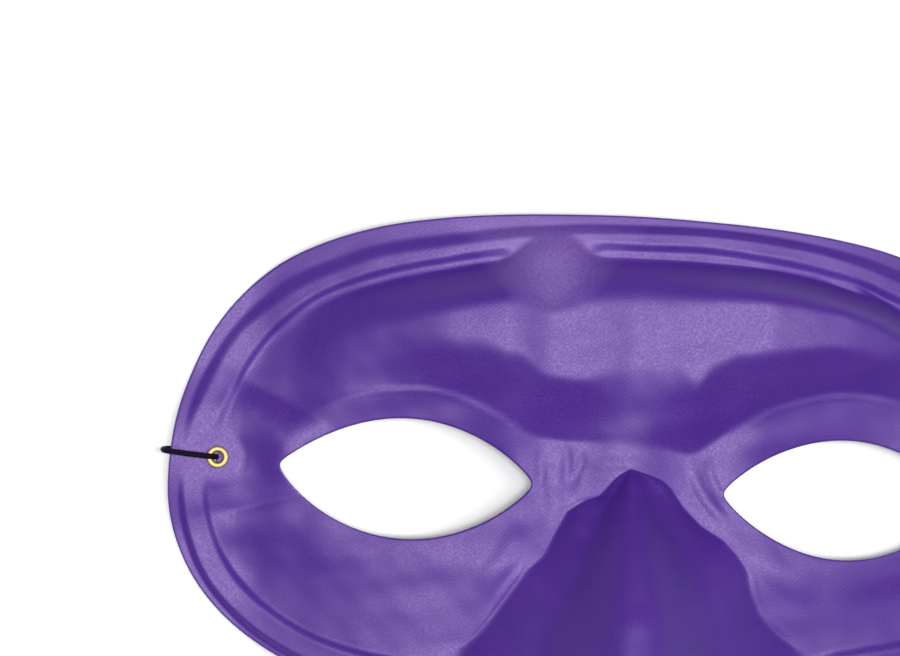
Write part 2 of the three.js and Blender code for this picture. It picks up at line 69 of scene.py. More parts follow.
WHITE = (1.0, 1.0, 1.0, 1.0)
TINY = 1e-6
# How many points are measured at a time, to how many decimals two of them are the same, and into how
# many steps a spline cuts the spans of a table and of a fold.
BATCH = 4096
SAME_DECIMALS = 4
TABLE_STEPS = 8
FOLD_STEPS = 6


class Side(Enum):
    """The two ends of the mask, as signs of x."""

    LEFT = -1
    RIGHT = 1


class Surface(Enum):
    """The material slots of the shell, in their order on the mesh."""

    SATIN = 0
    LINING = 1


def to_row(points: Array) -> Array:
    """Turns face-frame points in millimetres into row-frame points in metres.

    Args:
        points: An array of x, y, z rows.

    Returns:
        The same points in metres, with y measured from the middle of the mask.
    """
    return (points - np.array([0.0, MIDDLE_Y, 0.0])) * MM


def smooth(low: float | Array, high: float | Array, value: Array) -> Array:
    """Eases from 0 at low to 1 at high.

    Args:
        low: Where the result is still 0.
        high: Where the result reaches 1.
        value: The values to ease.

    Returns:
        The eased values.
    """
    t = np.clip((value - low) / (high - low), 0.0, 1.0)
    return t * t * (3.0 - 2.0 * t)


def bell(value: Array | float) -> Array:
    """A Gaussian of unit height and unit spread."""
    return np.exp(-np.square(value))


def hump(value: Array) -> Array:
    """A compact bump: 1 at 0, and flat 0 from a distance of 1 on."""
    return np.where(np.abs(value) < 1.0, np.square(1.0 - np.square(value)), 0.0)


def eased(value: Array, straight: float | Array) -> Array:
    """Climbs from 0 at 0 to 1 at 1, evenly at first and then ever less.

    Args:
        value: Where on the slope each point is.
        straight: The share of the slope that is even.

    Returns:
        The eased values.
    """
    t = np.clip(value, 0.0, 1.0)
    bent = np.maximum(0.0, t - straight)
    return (t - np.square(bent) / (2.0 * (1.0 - straight))) * 2.0 / (1.0 + straight)


def lengths_along(line: Array) -> Array:
    """How far along an open line each of its points is."""
    return np.concatenate([[0.0], np.cumsum(np.linalg.norm(np.diff(line, axis=0), axis=1))])


def resample(line: Array, steps: int) -> Array:
    """Spaces points evenly along an open line.

    Args:
        line: The points of the line.
        steps: How many equal steps it is cut into.

    Returns:
        An array of steps + 1 points.
    """
    lengths = lengths_along(line)
    goals = np.linspace(0.0, lengths[-1], steps + 1)
    return np.stack([np.interp(goals, lengths, line[:, axis]) for axis in range(line.shape[1])], axis=1)


def catmull_rom(points: Array, steps: int, closed: bool) -> Array:
    """Draws a spline through the points.

    Args:
        points: The points that it passes through.
        steps: How many short pieces each span becomes.
        closed: Whether the last point joins the first. A closed line is a uniform spline, and an
            open one is centripetal.

    Returns:
        The dense line. A closed one doesn't repeat its first point.
    """
    count = len(points)
    if closed:
        rows = [points[(np.arange(count) + shift) % count] for shift in (-1, 0, 1, 2)]
    else:
        padded = np.vstack([2 * points[0] - points[1], points, 2 * points[-1] - points[-2]])
        rows = [padded[shift : shift + count - 1] for shift in range(4)]
    a, b, c, d = (row[:, None, :] for row in rows)
    t = (np.arange(steps) / steps)[None, :, None]
    if closed:
        linear, square = c - a, 2 * a - 5 * b + 4 * c - d
        line = 0.5 * (2 * b + linear * t + square * t**2 + (3 * b - a - 3 * c + d) * t**3)
        return line.reshape(-1, points.shape[1])
    gaps = [np.sqrt(np.linalg.norm(q - p, axis=2, keepdims=True)) for p, q in ((a, b), (b, c), (c, d))]
    t0, t1 = 0.0, gaps[0]
    t2 = t1 + gaps[1]
    t3 = t2 + gaps[2]
    s = t1 + t * gaps[1]
    ab = ((t1 - s) * a + (s - t0) * b) / (t1 - t0)
    bc = ((t2 - s) * b + (s - t1) * c) / (t2 - t1)
    cd = ((t3 - s) * c + (s - t2) * d) / (t3 - t2)
    abc = ((t2 - s) * ab + (s - t0) * bc) / (t2 - t0)
    bcd = ((t3 - s) * bc + (s - t1) * cd) / (t3 - t1)
    line = ((t2 - s) * abc + (s - t1) * bcd) / (t2 - t1)
    return np.vstack([line.reshape(-1, points.shape[1]), points[-1:]])


def distance_to(line: Array, points: Array, closed: bool = True) -> Array:
    """Measures how far plan points are from a line.

    Args:
        line: The line's points.
        points: The plan points, x and y.
        closed: Whether the line's last point joins its first.

    Returns:
        One distance for each point.
    """
    ends = np.roll(line, -1, axis=0)
    if not closed:
        line, ends = line[:-1], ends[:-1]
    step = ends - line
    square = np.sum(step * step, axis=1)
    best = np.empty(len(points))
    for start in range(0, len(points), BATCH):
        gap = points[start : start + BATCH, None, :] - line[None, :, :]
        share = np.clip(np.sum(gap * step, axis=2) / square, 0.0, 1.0)
        away = gap - share[:, :, None] * step
        best[start : start + BATCH] = np.sqrt(np.min(np.sum(away * away, axis=2), axis=1))
    return best


def spline_table(*rows: tuple[float, ...]) -> Array:
    """Draws a smooth line through the rows of a table, whose first column rises."""
    return catmull_rom(np.array(rows, dtype=float), TABLE_STEPS, closed=False)


def read(table: Array, x: Array, column: int = 1) -> Array:
    """Looks a column of a table up at each x."""
    return np.interp(x, table[:, 0], table[:, column])


OUTLINE_HALF = (
    (0, 52), (13, 51.7), (26, 51), (38, 49.7), (49, 47.6), (59, 44.2), (67.5, 39.6), (74.6, 33.1),
    (79.9, 25.7), (83.6, 17.4), (86, 9.4), (87, 1), (86.7, -7), (84.6, -14.6), (80.6, -22),
    (74.6, -28.6), (67, -34), (58, -38.2), (48, -40.9), (38.5, -41.6), (30, -40.4), (21.5, -41),
    (12.5, -43.6), (5, -45.6), (0, -46),
)
LEFT_CREASE = (
    (0, 4), (-1.4, 3.1), (-2.7, 2), (-3.9, 0.6), (-5.5, -1.4), (-8.1, -2.4), (-11.5, -4.8),
    (-13.6, -9), (-15.8, -13.6), (-19.2, -16.6), (-22.6, -21.8), (-24.9, -25.4), (-27.3, -28.9),
)
RIGHT_CREASE = (
    (0, 4), (3.6, 3), (6.4, 2), (8.3, 0.4), (10.6, -2.9), (14.2, -6.3), (18.8, -9), (21.5, -11.8),
    (23.6, -14.6), (24.4, -18), (26.6, -22.6), (30.4, -26.2),
)
NOSE_RIDGE = (
    (4, 0), (2, 1.9), (-2, 5.1), (-6, 8), (-10, 10.7), (-15, 13.9), (-20, 16.9), (-25, 19.7),
    (-30, 22.2), (-36, 24.8), (-42, 26.6), (-47, 27.6),
)
# The rim along the upper edge, as x, its width, how far in its outer and inner steps are, and the
# width of the slope from there up to the forehead. Then the same along the lower edge.
UPPER_RIM = spline_table(
    (-87, 8.7, 2.6, 7.2, 9), (-84, 8.8, 2.5, 7.2, 9), (-80, 9.6, 3.1, 7.8, 9), (-75, 10.6, 3.6, 8.7, 9),
    (-68, 10.9, 4.4, 9, 9), (-59, 10.7, 4.7, 8.8, 9), (-49, 10.5, 4.5, 8.6, 9), (-38, 10, 4.4, 8.1, 8.6),
    (-26, 8.8, 3.6, 7, 8.4), (-13, 8.2, 2.8, 6, 8.8), (0, 8.2, 2.5, 6, 8.6), (13, 8, 2.1, 5.6, 7.6),
    (26, 8, 2.3, 6.1, 6.9), (38, 8.8, 2.8, 6.8, 5.8), (49, 9.8, 3.6, 7.8, 6), (59, 10.4, 4.2, 8.4, 7.5),
    (68, 10.7, 4.2, 8.7, 9), (75, 10.4, 3.5, 8.4, 9), (80, 9.6, 3, 7.8, 9), (84, 8.8, 2.5, 7.2, 9),
    (87, 8.7, 2.6, 7.2, 9),
)
LOWER_RIM = spline_table(
    (-87, 8.7, 2.6, 7.2, 9), (-84, 8.8, 2.4, 7.2, 9), (-80, 8.9, 1.9, 7, 9), (-71, 9, 1.6, 6.6, 9),
    (-58, 9.2, 1.6, 6.5, 9), (-48, 9.4, 1.8, 6.8, 9), (-38, 9.2, 1.9, 6.6, 9), (0, 8.5, 1.8, 6.2, 9),
    (18, 8.8, 1.9, 6.4, 9), (26, 9.6, 2, 7.4, 9), (35, 12.2, 2.1, 10.2, 9), (41, 13.4, 2.2, 11.6, 9),
    (48, 13.8, 2.4, 12, 9), (58, 12.6, 2.4, 10.8, 9), (68, 10.5, 2.2, 8.6, 9), (80, 9, 2.2, 7.2, 9),
    (87, 8.7, 2.6, 7.2, 9),
)
# The line where the brow ends on the lids and the bridge, as x and y.
BROW_LINE = spline_table(
    (-76, 2), (-70, 7), (-63, 11.7), (-57.4, 14.3), (-50.5, 16.5), (-44.2, 17.3), (-38.5, 17.4),
    (-32.7, 16.2), (-25, 12.8), (-18.9, 9.4), (-12, 8.7), (-5.6, 8.7), (0, 8.8), (5.5, 8.2),
    (11.7, 7.4), (16, 9.8), (20.85, 13.3), (26.4, 16.6), (32, 18.7), (40.5, 20.4), (51, 19.4),
    (58, 17), (64, 13.5), (70, 8), (76, 2),
)
# The brow's slope, as x, its width, the share of it that is straight, and how far it drops.
BROW_DROP = spline_table(
    (-76, 20, 0.2, 0), (-66, 20, 0.2, 0.9), (-56, 20, 0.2, 1.9), (-48, 13, 0.4, 3.1), (-38, 10.5, 0.6, 4.5),
    (-26, 12, 0.8, 5.5), (-16, 12.5, 0.9, 5.9), (-10, 12.5, 0.85, 5.8), (-5, 16, 0.5, 5.6), (0, 21, 0.3, 5.4),
    (5, 18, 0.4, 5.8), (10, 15, 0.75, 6.5), (16, 13.5, 0.85, 7), (26, 11, 0.8, 6.5), (38, 9.8, 0.75, 5.8),
    (48, 9.8, 0.6, 5), (56, 14, 0.4, 4), (66, 18, 0.2, 1.5), (76, 20, 0.2, 0),
)


@dataclass(frozen=True)
class Fold:
    """A crease or a facet that the cloth has taken on over the form, in millimetres.

    A crease has no far side. A facet climbs at once on the left of its line and sinks back slowly.
    """

    line: tuple[tuple[float, float], ...]
    height: float
    near: float
    far: float = 0.0
    fade: float = 0.35

    def at(self, points: Array) -> Array:
        """Works out the fold's height, which fades towards the ends of its line.

        Args:
            points: The plan points, x and y.

        Returns:
            One height for each point.
        """
        line = catmull_rom(np.array(self.line, dtype=float), FOLD_STEPS, closed=False)
        reach = max(self.near, self.far)
        close = np.all((points > line.min(axis=0) - reach) & (points < line.max(axis=0) + reach), axis=1)
        step = np.diff(line, axis=0)
        gap = points[close][:, None] - line[None, :-1]
        share = np.clip(np.sum(gap * step, axis=2) / np.sum(step * step, axis=1), 0.0, 1.0)
        distance = np.linalg.norm(gap - share[:, :, None] * step, axis=2)
        nearest = np.argmin(distance, axis=1)
        rows = np.arange(len(nearest))
        distance, gap, step = distance[rows, nearest], gap[rows, nearest], step[nearest]
        along = (nearest + share[rows, nearest]) / (len(line) - 1)
        profile = hump(distance / self.near)
        if self.far:
            on_left = step[:, 0] * gap[:, 1] > step[:, 1] * gap[:, 0]
            climb = eased(distance / self.near, 0.0)
            profile = on_left * climb * (1.0 - smooth(self.near, self.far, distance))
        height = np.zeros(len(points))
        profile = self.height * profile * smooth(0.0, self.fade, along)
        height[close] = profile * smooth(0.0, self.fade, 1.0 - along)
        return height


FOLDS = (
    # The facets above and below the left eyelet, and their like on the right.
    Fold(((-55, 8.4), (-60.5, 11), (-66, 13.6), (-71.5, 16.2), (-77, 18.8)), 1.9, 8.0, 19.0),
    Fold(((-57, -3), (-68, -6.2), (-73.4, -7.8), (-84.7, -9.8)), 0.8, 3.5, 13.0),
    Fold(((77, 16), (71, 14.6), (65, 12.4), (60, 10)), 0.7, 3.5, 12.0),
    Fold(((84, -8), (74, -7), (66, -5), (60, -3)), 0.6, 3.5, 12.0),
    # The wrinkles between the eyes.
    Fold(((-16.4, 8), (-17.2, 5), (-16.8, 1.6), (-17.6, -1)), -0.14, 1.4),
    Fold(((-12.9, 8.8), (-12, 5.4), (-11.8, 2), (-10.4, -2.6)), -0.3, 1.5),
    Fold(((-9.9, 7.4), (-9.2, 5), (-10.2, 2), (-10.4, -1)), -0.2, 1.2),
    Fold(((-14.4, 6), (-14.6, 1), (-13.9, -4), (-14.6, -9)), 0.3, 2.4),
    Fold(((-8.4, 5.2), (-6, 4.6), (-3, 4.8), (1, 5), (5, 4.8)), 0.2, 1.8),
    Fold(((11.4, 7), (12.6, 3.4), (13.8, 0.6), (17.2, -3.6), (20.5, -7)), 0.4, 1.8),
    Fold(((15.2, 7.4), (15.4, 4.4), (17, 0.8), (19.4, -2)), -0.25, 1.4),
    # Where the cloth is pinched along the feet of the nose.
    Fold(((22.9, -12), (24.4, -15), (25.2, -18.2), (27.2, -22.4), (31, -25.6), (35, -28.4)), 0.16, 1.1),
    Fold(
        ((-18.4, -14), (-20, -16.2), (-23.4, -21.4), (-25.7, -25), (-28.2, -28.6), (-30.6, -31.4)), 0.16, 1.1
    ),
    # Where it is pinched along the tops of the lids.
    Fold(
        ((13, 6.6), (20.85, 12.8), (26.4, 16.1), (32, 18.2), (40.5, 19.9), (51, 18.9), (60, 15.6)), 0.2, 1.0
    ),
    Fold(
        ((-20, 9.4), (-25, 12.3), (-32.7, 15.7), (-38.5, 16.9), (-44.2, 16.8), (-50.5, 16), (-60, 12.8)),
        0.14,
        1.0,
    ),
    # Thin creases where the cloth is drawn in along the top right of the rim.
    Fold(((36, 42.6), (42, 40.6), (47, 37.8), (53, 36.4)), 0.3, 1.1),
    Fold(((43, 42), (47, 39.4), (52, 36.8)), -0.3, 1.0),
    # Soft hollows and swells of the cheeks.
    Fold(((-62, -8), (-57, -13), (-54, -20)), 0.35, 7.0),
    Fold(((-76, -12), (-72, -18), (-66, -23)), -0.3, 6.0),
    Fold(((-46, -18), (-38, -20), (-30, -19)), -0.35, 7.0),
    Fold(((-20, -7), (-23, -14), (-29, -22)), 0.3, 3.0),
    Fold(((24, -8), (30, -15), (38, -20)), 0.3, 3.5),
    Fold(((44, -17), (54, -19), (62, -15)), -0.3, 6.0),
)


@dataclass
class MaskForm:
    """The shape of the moulded shell, as heights over its plan, in millimetres."""

    thickness: float = 1.4
    most_slant: float = 2.6
    seat_flat: float = 0.12
    wrap_rise: float = 13.5
    wrap_half_width: float = 74.0
    wrap_power: float = 3.0
    wrap_ease: float = 1.5
    forehead_droop: float = 2.0
    forehead_reach: float = 50.0
    arch_rise: float = 2.4
    arch_y: float = 2.7
    arch_half_length: float = 18.0
    arch_from: float = 38.0
    arch_to: float = 64.0
    bead_rise: float = 1.0
    groove_drop: float = 0.9
    step_share: float = 0.3
    step_least: float = 0.15
    inner_step: float = 0.9
    rim_width: float = 9.0
    rim_blend: float = 8.0
    rim_by_nose: Span = (1.02, 1.25)
    rim_by_eyelet: Span = (60.0, 70.0)
    rim_gap: float = 11.0
    head_straight: float = 0.4
    patch_x: float = -17.0
    patch_half_width: float = 10.0
    patch_start: float = 5.0
    patch_extra: float = 0.8
    patch_step: float = 14.0
    patch_straight: float = 0.55
    patch_dip: float = 0.5
    patch_y: float = 40.0
    patch_half_height: float = 13.0
    patch_over: Span = (10.0, 20.0)
    bridge_rise: float = 2.8
    bridge_half_width: float = 7.5
    bridge_foot: float = -22.0
    bridge_top: float = 6.0
    socket_depth: float = 1.6
    socket_half_width: float = 27.0
    socket_y: float = 4.0
    socket_half_height: float = 18.0
    cheek_rise: float = 1.4
    cheek_width: float = 16.0
    cheek_height: float = 16.0
    lid_rise: float = 1.8
    lid_straight: float = 0.8
    lid_from: Span = (16.0, 26.0)
    lid_to: Span = (-66.0, -54.0)
    lid_over: Span = (0.0, 6.0)
    eye_x: float = 42.3
    eye_half_width: float = 23.8
    eye_upper: float = 11.3
    eye_lower: float = 11.6
    eye_corner_lift: float = 1.3
    eye_corner_power: int = 5
    eye_steps: int = 240
    outline_steps: int = 12
    eye_roundness: float = 1.72
    eye_corner_round: float = 0.022
    nose_top_y: float = 4.0
    nose_core_share: float = 0.35
    nose_core_width: float = 0.56
    nose_roundness: float = 0.24
    nose_core_power: float = 1.5
    nose_blur: float = 9.0
    nose_blur_most: float = 0.9
    nose_blur_steps: int = 9
    nose_near_crease: Span = (0.35, 0.95)
    left_corner: tuple[float, float] = (-29.8, -31.9)
    right_corner: tuple[float, float] = (34.6, -28.9)
    left_foot: tuple[float, float] = (-36.0, -47.0)
    right_foot: tuple[float, float] = (39.5, -47.0)
    eyelet_x: float = 77.9
    eyelet_y: float = 2.0
    pad_radius: float = 3.2
    pad_end: float = 6.5
    fold_clear: float = 13.0
    edge_radius: float = 0.3
    waves: int = 12
    wave_lengths: Span = (5.0, 24.0)
    wave_slope: float = 0.02
    wave_inset: Span = (1.0, 5.0)
    wave_seed: int = 7
    outline: Array = field(init=False)
    eye_edge: Array = field(init=False)
    left_line: Array = field(init=False)
    right_line: Array = field(init=False)
    crease_line: Array = field(init=False)

    def __post_init__(self) -> None:
        """Draws the outline, the eye hole's edge and the creases beside the nose."""
        half = np.array(OUTLINE_HALF, dtype=float)
        mirrored = half[1:-1][::-1] * np.array([-1.0, 1.0])
        self.outline = catmull_rom(np.vstack([half, mirrored]), self.outline_steps, closed=True)
        self.eye_edge = self.eye_point(np.linspace(0.0, math.tau, self.eye_steps, endpoint=False))
        self.set_corners(self.left_corner, self.right_corner)

    def set_corners(self, left: Sequence[float], right: Sequence[float]) -> None:
        """Ends the creases beside the nose on two points of the rim's inner edge.

        Args:
            left: The left crease's end, x and y.
            right: The right crease's end, x and y.
        """
        self.left_line = np.array([*LEFT_CREASE, tuple(left)], dtype=float)
        self.right_line = np.array([*RIGHT_CREASE, tuple(right)], dtype=float)
        feet = [np.array([self.left_foot]), np.array([self.right_foot])]
        self.crease_line = np.vstack([feet[0], self.left_line[:0:-1], self.right_line, feet[1]])

    @property
    def pad_height(self) -> float:
        """The height of the flat faces that the eyelets sit on."""
        return self.thickness + self.arch_rise

    def eye_point(self, angle: Array) -> Array:
        """Finds points of the right eye hole's edge.

        Args:
            angle: Angles round the hole, 0 at the outer corner and a quarter turn at the top.

        Returns:
            The points' x and y.
        """
        c, s = np.cos(angle), np.sin(angle)
        height = np.where(s > 0.0, self.eye_upper, self.eye_lower)
        lift = self.eye_corner_lift * np.maximum(0.0, c) ** self.eye_corner_power
        y = lift + np.sign(s) * height * np.abs(s) ** self.eye_roundness
        from_corner = 1.0 - np.abs(c)
        fuller = from_corner + self.eye_corner_round - np.hypot(from_corner, self.eye_corner_round)
        return np.stack([self.eye_x + self.eye_half_width * (c + fuller * c * np.abs(c)), y], axis=-1)

    def rim_at(self, x: Array, y: Array, column: int = 1) -> Array:
        """Reads the tables of the rim.

        Args:
            x: The points' places across the face.
            y: The points' places up the face.
            column: 1 for the rim's width, 2 and 3 for its steps and 4 for the slope beyond it.

        Returns:
            The distances from the mask's edge.
        """
        low, high = (read(table, x, column) for table in (LOWER_RIM, UPPER_RIM))
        return low + (high - low) * smooth(-self.rim_blend, self.rim_blend, y)

    def patch(self, x: Array, y: Array) -> Array:
        """Marks where the forehead runs out to the rim in one gentle slope, as 1 in its middle."""
        return hump((x - self.patch_x) / self.patch_half_width) * smooth(*self.patch_over, y)

    def crease_at(self, x: Array, y: Array) -> Array:
        """Finds how far the crease beside the nose is from the middle.

        Args:
            x: The points' places across the face, of which only the side counts.
            y: The points' places up the face.

        Returns:
            The distances.
        """
        left = np.vstack([self.left_line, self.left_foot])[::-1]
        right = np.vstack([self.right_line, self.right_foot])[::-1]
        to_left = np.interp(y, left[:, 1], -left[:, 0])
        to_right = np.interp(y, right[:, 1], right[:, 0])
        return np.where(x < 0.0, to_left, to_right)

    def nose_height(self, x: Array, y: Array) -> Array:
        """The nose's height above the cheeks: a rounded ridge with a narrow core and a wide skirt.

        Args:
            x: The points' places across the face.
            y: The points' places up the face.

        Returns:
            The heights, 0 outside the creases.
        """
        height = np.zeros_like(x)
        on_nose = (y < self.nose_top_y) & (np.abs(x) < self.crease_at(x, y))
        x, y = x[on_nose], y[on_nose]
        inside = distance_to(self.crease_line, np.stack([x, y], axis=1), closed=False)
        middle = distance_to(self.crease_line, np.stack([0.0 * x, y], axis=1), closed=False)
        reach = np.minimum(self.nose_blur, self.nose_blur_most * (self.nose_top_y - y))
        steps = np.linspace(-1.0, 1.0, self.nose_blur_steps)
        soft = np.mean([self.crease_at(x, y + reach * step) for step in steps], axis=0)
        near_crease = smooth(*self.nose_near_crease, np.abs(x) / self.crease_at(x, y))
        across = np.abs(x) / np.maximum(soft, TINY)
        across += near_crease * (1.0 - inside / np.maximum(middle, TINY) - across)
        across = np.clip(across, 0.0, 1.0)
        full = math.hypot(1.0, self.nose_roundness)
        skirt = (full - np.hypot(across, self.nose_roundness)) / (full - self.nose_roundness)
        core = np.maximum(0.0, 1.0 - np.square(across / self.nose_core_width)) ** self.nose_core_power
        share = self.nose_core_share * core + (1.0 - self.nose_core_share) * skirt
        height[on_nose] = read(np.array(NOSE_RIDGE, dtype=float)[::-1], y) * share
        return height

    def bead(self, x: Array, y: Array, inset: Array) -> Array:
        """The step from the flange up to the bead and down to the rim's inner edge.

        Args:
            x: The points' places across the face.
            y: The points' places up the face.
            inset: The points' distances from the mask's edge.

        Returns:
            The height over the flange, which fades out below the nose and beside the eyelets.
        """
        outer, inner = self.rim_at(x, y, 2), self.rim_at(x, y, 3)
        reach = self.step_least + self.step_share * outer
        up = self.bead_rise * smooth(outer - reach, outer + reach, inset)
        end = inner + self.inner_step + self.patch_step * self.patch(x, y)
        down = self.groove_drop * smooth(inner - self.inner_step, end, inset)
        beside_nose = np.where(y < 0.0, smooth(*self.rim_by_nose, np.abs(x) / self.crease_at(x, y)), 1.0)
        gap = hump((y - self.eyelet_y) / self.rim_gap)
        beside_eyelet = 1.0 - smooth(*self.rim_by_eyelet, np.abs(x)) * gap
        return (up - down) * beside_nose * beside_eyelet

    def brow(self, x: Array, y: Array, inset: Array, from_eye: Array) -> Array:
        """The forehead's height over the eyes, and the upper lids' height over the edges of the holes.

        The forehead rises from the rim and drops steeply at the brow. The lids carry on from the
        line where the brow ends.

        Args:
            x: The points' places across the face.
            y: The points' places up the face.
            inset: The points' distances from the mask's edge.
            from_eye: Their distances from the eye holes.

        Returns:
            The height.
        """
        behind, low, ahead = (read(BROW_LINE, x + step) for step in (-1.0, 0.0, 1.0))
        over = (y - low) / np.hypot(1.0, (ahead - behind) / 2.0)
        width, straight, drop = (read(BROW_DROP, x, column) for column in (1, 2, 3))
        patch = self.patch(x, y)
        head_width = self.rim_at(x, y, 4) * (1.0 + self.patch_extra * patch)
        from_rim = inset - self.rim_at(x, y) + self.patch_start * patch
        rise = eased(from_rim / head_width, self.head_straight + self.patch_straight * patch)
        bridge = self.bridge_rise * bell(x / self.bridge_half_width)
        dip = self.patch_dip * hump((y - self.patch_y) / self.patch_half_height) * patch
        forehead = (drop - bridge) * eased(over / width, straight) - dip
        across = np.abs(x)
        lid = self.lid_rise * eased(from_eye / (from_eye + np.maximum(-over, TINY)), self.lid_straight)
        lid *= smooth(*self.lid_from, across) * smooth(*self.lid_to, -across) * smooth(*self.lid_over, y)
        return rise * (forehead + bridge * smooth(self.bridge_foot, self.bridge_top, y) + lid)

    def heights(self, points: Array) -> tuple[Array, Array]:
        """Works out the front of the shell.

        Args:
            points: The plan points, x and y.

        Returns:
            The front without its relief, from which the back is set off, and the relief.
        """
        x, y = points[:, 0], points[:, 1]
        across = np.abs(x)
        inset = distance_to(self.outline, points)
        from_eye = distance_to(self.eye_edge, np.stack([across, y], axis=1))
        rim = self.rim_at(x, y)
        wrapped = np.maximum(0.0, 1.0 - (across / self.wrap_half_width) ** self.wrap_power) ** self.wrap_ease
        droop = self.forehead_droop * np.square(y / self.forehead_reach)
        z = self.thickness + self.wrap_rise * wrapped - droop * wrapped
        arch = hump((y - self.arch_y) / self.arch_half_length)
        z += self.arch_rise * arch * smooth(self.arch_from, self.arch_to, across)

        z += self.brow(x, y, inset, from_eye)
        socket = bell(x / self.socket_half_width) * bell((y - self.socket_y) / self.socket_half_height)
        z -= self.socket_depth * socket
        below = smooth(0.0, self.cheek_height, -y)
        z += self.cheek_rise * below * smooth(rim, rim + self.cheek_width, inset)
        z += self.nose_height(x, y)

        from_eyelet = np.hypot(across - self.eyelet_x, y - self.eyelet_y)
        clear = smooth(self.pad_radius, self.pad_end, from_eyelet)
        relief = self.bead(x, y, inset) + smooth(*self.wave_inset, inset) * self.unevenness(points)
        beside_eyelet = smooth(self.pad_radius, self.fold_clear, from_eyelet)
        relief += beside_eyelet * sum(fold.at(points) for fold in FOLDS)
        return self.pad_height + (z - self.pad_height) * clear, relief * clear

    def unevenness(self, points: Array) -> Array:
        """Shallow waves in every direction, as satin glued over a form has.

        Args:
            points: The plan points, x and y.

        Returns:
            One height for each point.
        """
        chance = np.random.default_rng(self.wave_seed)
        height = np.zeros(len(points))
        for length in np.geomspace(*self.wave_lengths, self.waves):
            turn, start = chance.uniform(0.0, math.tau, 2)
            phase = (points @ np.array([math.cos(turn), math.sin(turn)])) * math.tau / length + start
            height += self.wave_slope * length / math.tau * np.sin(phase)
        return height

    def from_edge(self, points: Array) -> Array:
        """How far plan points are from the nearest edge: the outline's or an eye hole's."""
        folded = np.stack([np.abs(points[:, 0]), points[:, 1]], axis=1)
        return np.minimum(distance_to(self.outline, points), distance_to(self.eye_edge, folded))

    def edge_drop(self, edge: Array) -> Array:
        """How far each surface turns in where the cloth is rolled round an edge.

        Args:
            edge: The points' distances from the nearest edge.

        Returns:
            The drop, 0 further inside than the edge's radius.
        """
        reach = np.clip(self.edge_radius - edge, 0.0, self.edge_radius)
        return self.edge_radius - np.sqrt(self.edge_radius**2 - reach**2)


class PlanMesh:
    """Gathers patches of plan points into one welded mesh of quads."""

    def __init__(self) -> None:
        """Starts with no patches."""
        self.points: list[Array] = []
        self.quads: list[Array] = []
        self.count = 0

    def add(self, rows: Array) -> None:
        """Adds a patch.

        Args:
            rows: Plan points in rows and columns, as an array of shape (rows, columns, 2).
        """
        height, width = rows.shape[:2]
        ids = self.count + np.arange(height * width).reshape(height, width)
        quads = np.stack([ids[:-1, :-1], ids[:-1, 1:], ids[1:, 1:], ids[1:, :-1]], axis=-1)
        self.points.append(rows.reshape(-1, 2))
        self.quads.append(quads.reshape(-1, 4))
        self.count += height * width

    def welded(self) -> tuple[Array, Array]:
        """Joins the patches along the points that they share.

        Returns:
            The plan points, and quads that turn left as seen from the front. A quad with two equal
            corners stands for a triangle.
        """
        points = np.vstack(self.points)
        rounded = np.round(points, SAME_DECIMALS) + 0.0
        _, first, inverse = np.unique(rounded, axis=0, return_index=True, return_inverse=True)
        quads = inverse.reshape(-1)[np.vstack(self.quads)]
        points = points[first]
        corners = points[quads]
        turn = np.zeros(len(quads))
        for i in range(4):
            a, b = corners[:, i], corners[:, (i + 1) % 4]
            turn += a[:, 0] * b[:, 1] - a[:, 1] * b[:, 0]
        quads[turn < 0.0] = quads[turn < 0.0][:, ::-1]
        return points, quads


def inner_rings(outline: Array, insets: Array, scale: Array) -> Array:
    """Draws rings inside a closed line.

    Args:
        outline: The closed line, clockwise, without its first point repeated.
        insets: How far in each ring is.
        scale: A factor on the insets at each point of the line.

    Returns:
        The rings, of shape (rings, points, 2).
    """
    ahead, behind = np.roll(outline, -1, axis=0), np.roll(outline, 1, axis=0)
    along = ahead - behind
    inward = np.stack([along[:, 1], -along[:, 0]], axis=1) / np.linalg.norm(along, axis=1, keepdims=True)
    return outline[None] + insets[:, None, None] * scale[None, :, None] * inward[None]


# Node helpers


def add_node(tree: Tree, kind: str, settings: dict | None = None, **values: object) -> Node:
    """Adds a shader node.

    Args:
        tree: The tree that gets it.
        kind: The node's type, without the leading ShaderNode.
        settings: Properties of the node itself.
        **values: Input sockets by name, with spaces written as underscores. A socket is linked, and
            any other value is set as the input's own.

    Returns:
        The node.
    """
    node = tree.nodes.new("ShaderNode" + kind)
    for name, value in (settings or {}).items():
        setattr(node, name, value)
    for name, value in values.items():
        socket = node.inputs[int(name[1:])] if name[0] == "_" else node.inputs[name.replace("_", " ")]
        if isinstance(value, Socket):
            tree.links.new(value, socket)
        else:
            socket.default_value = value
    return node


def maths(tree: Tree, operation: str, *values: object) -> Socket:
    """Adds a Math node on the given sockets or numbers.

    Args:
        tree: The tree that gets it.
        operation: The Math node's operation.
        *values: Its inputs in order.

    Returns:
        Its output.
    """
    inputs = {f"_{i}": value for i, value in enumerate(values)}
    return add_node(tree, "Math", {"operation": operation}, **inputs).outputs[0]


def new_group(name: str, inputs: dict[str, str], outputs: dict[str, str]) -> tuple[Tree, Outputs, Inputs]:
    """Starts a shader node group.

    Args:
        name: The group's name.
        inputs: Input names with their socket types, such as Float or Vector.
        outputs: Output names with their socket types.

    Returns:
        The group, the sockets that it reads from and those that it writes to.
    """
    group = bpy.data.node_groups.new(name, "ShaderNodeTree")
    for sockets, way in ((inputs, "INPUT"), (outputs, "OUTPUT")):
        for label, kind in sockets.items():
            group.interface.new_socket(label, in_out=way, socket_type="NodeSocket" + kind)
    start = group.nodes.new("NodeGroupInput")
    end = group.nodes.new("NodeGroupOutput")
    return group, start.outputs, end.inputs


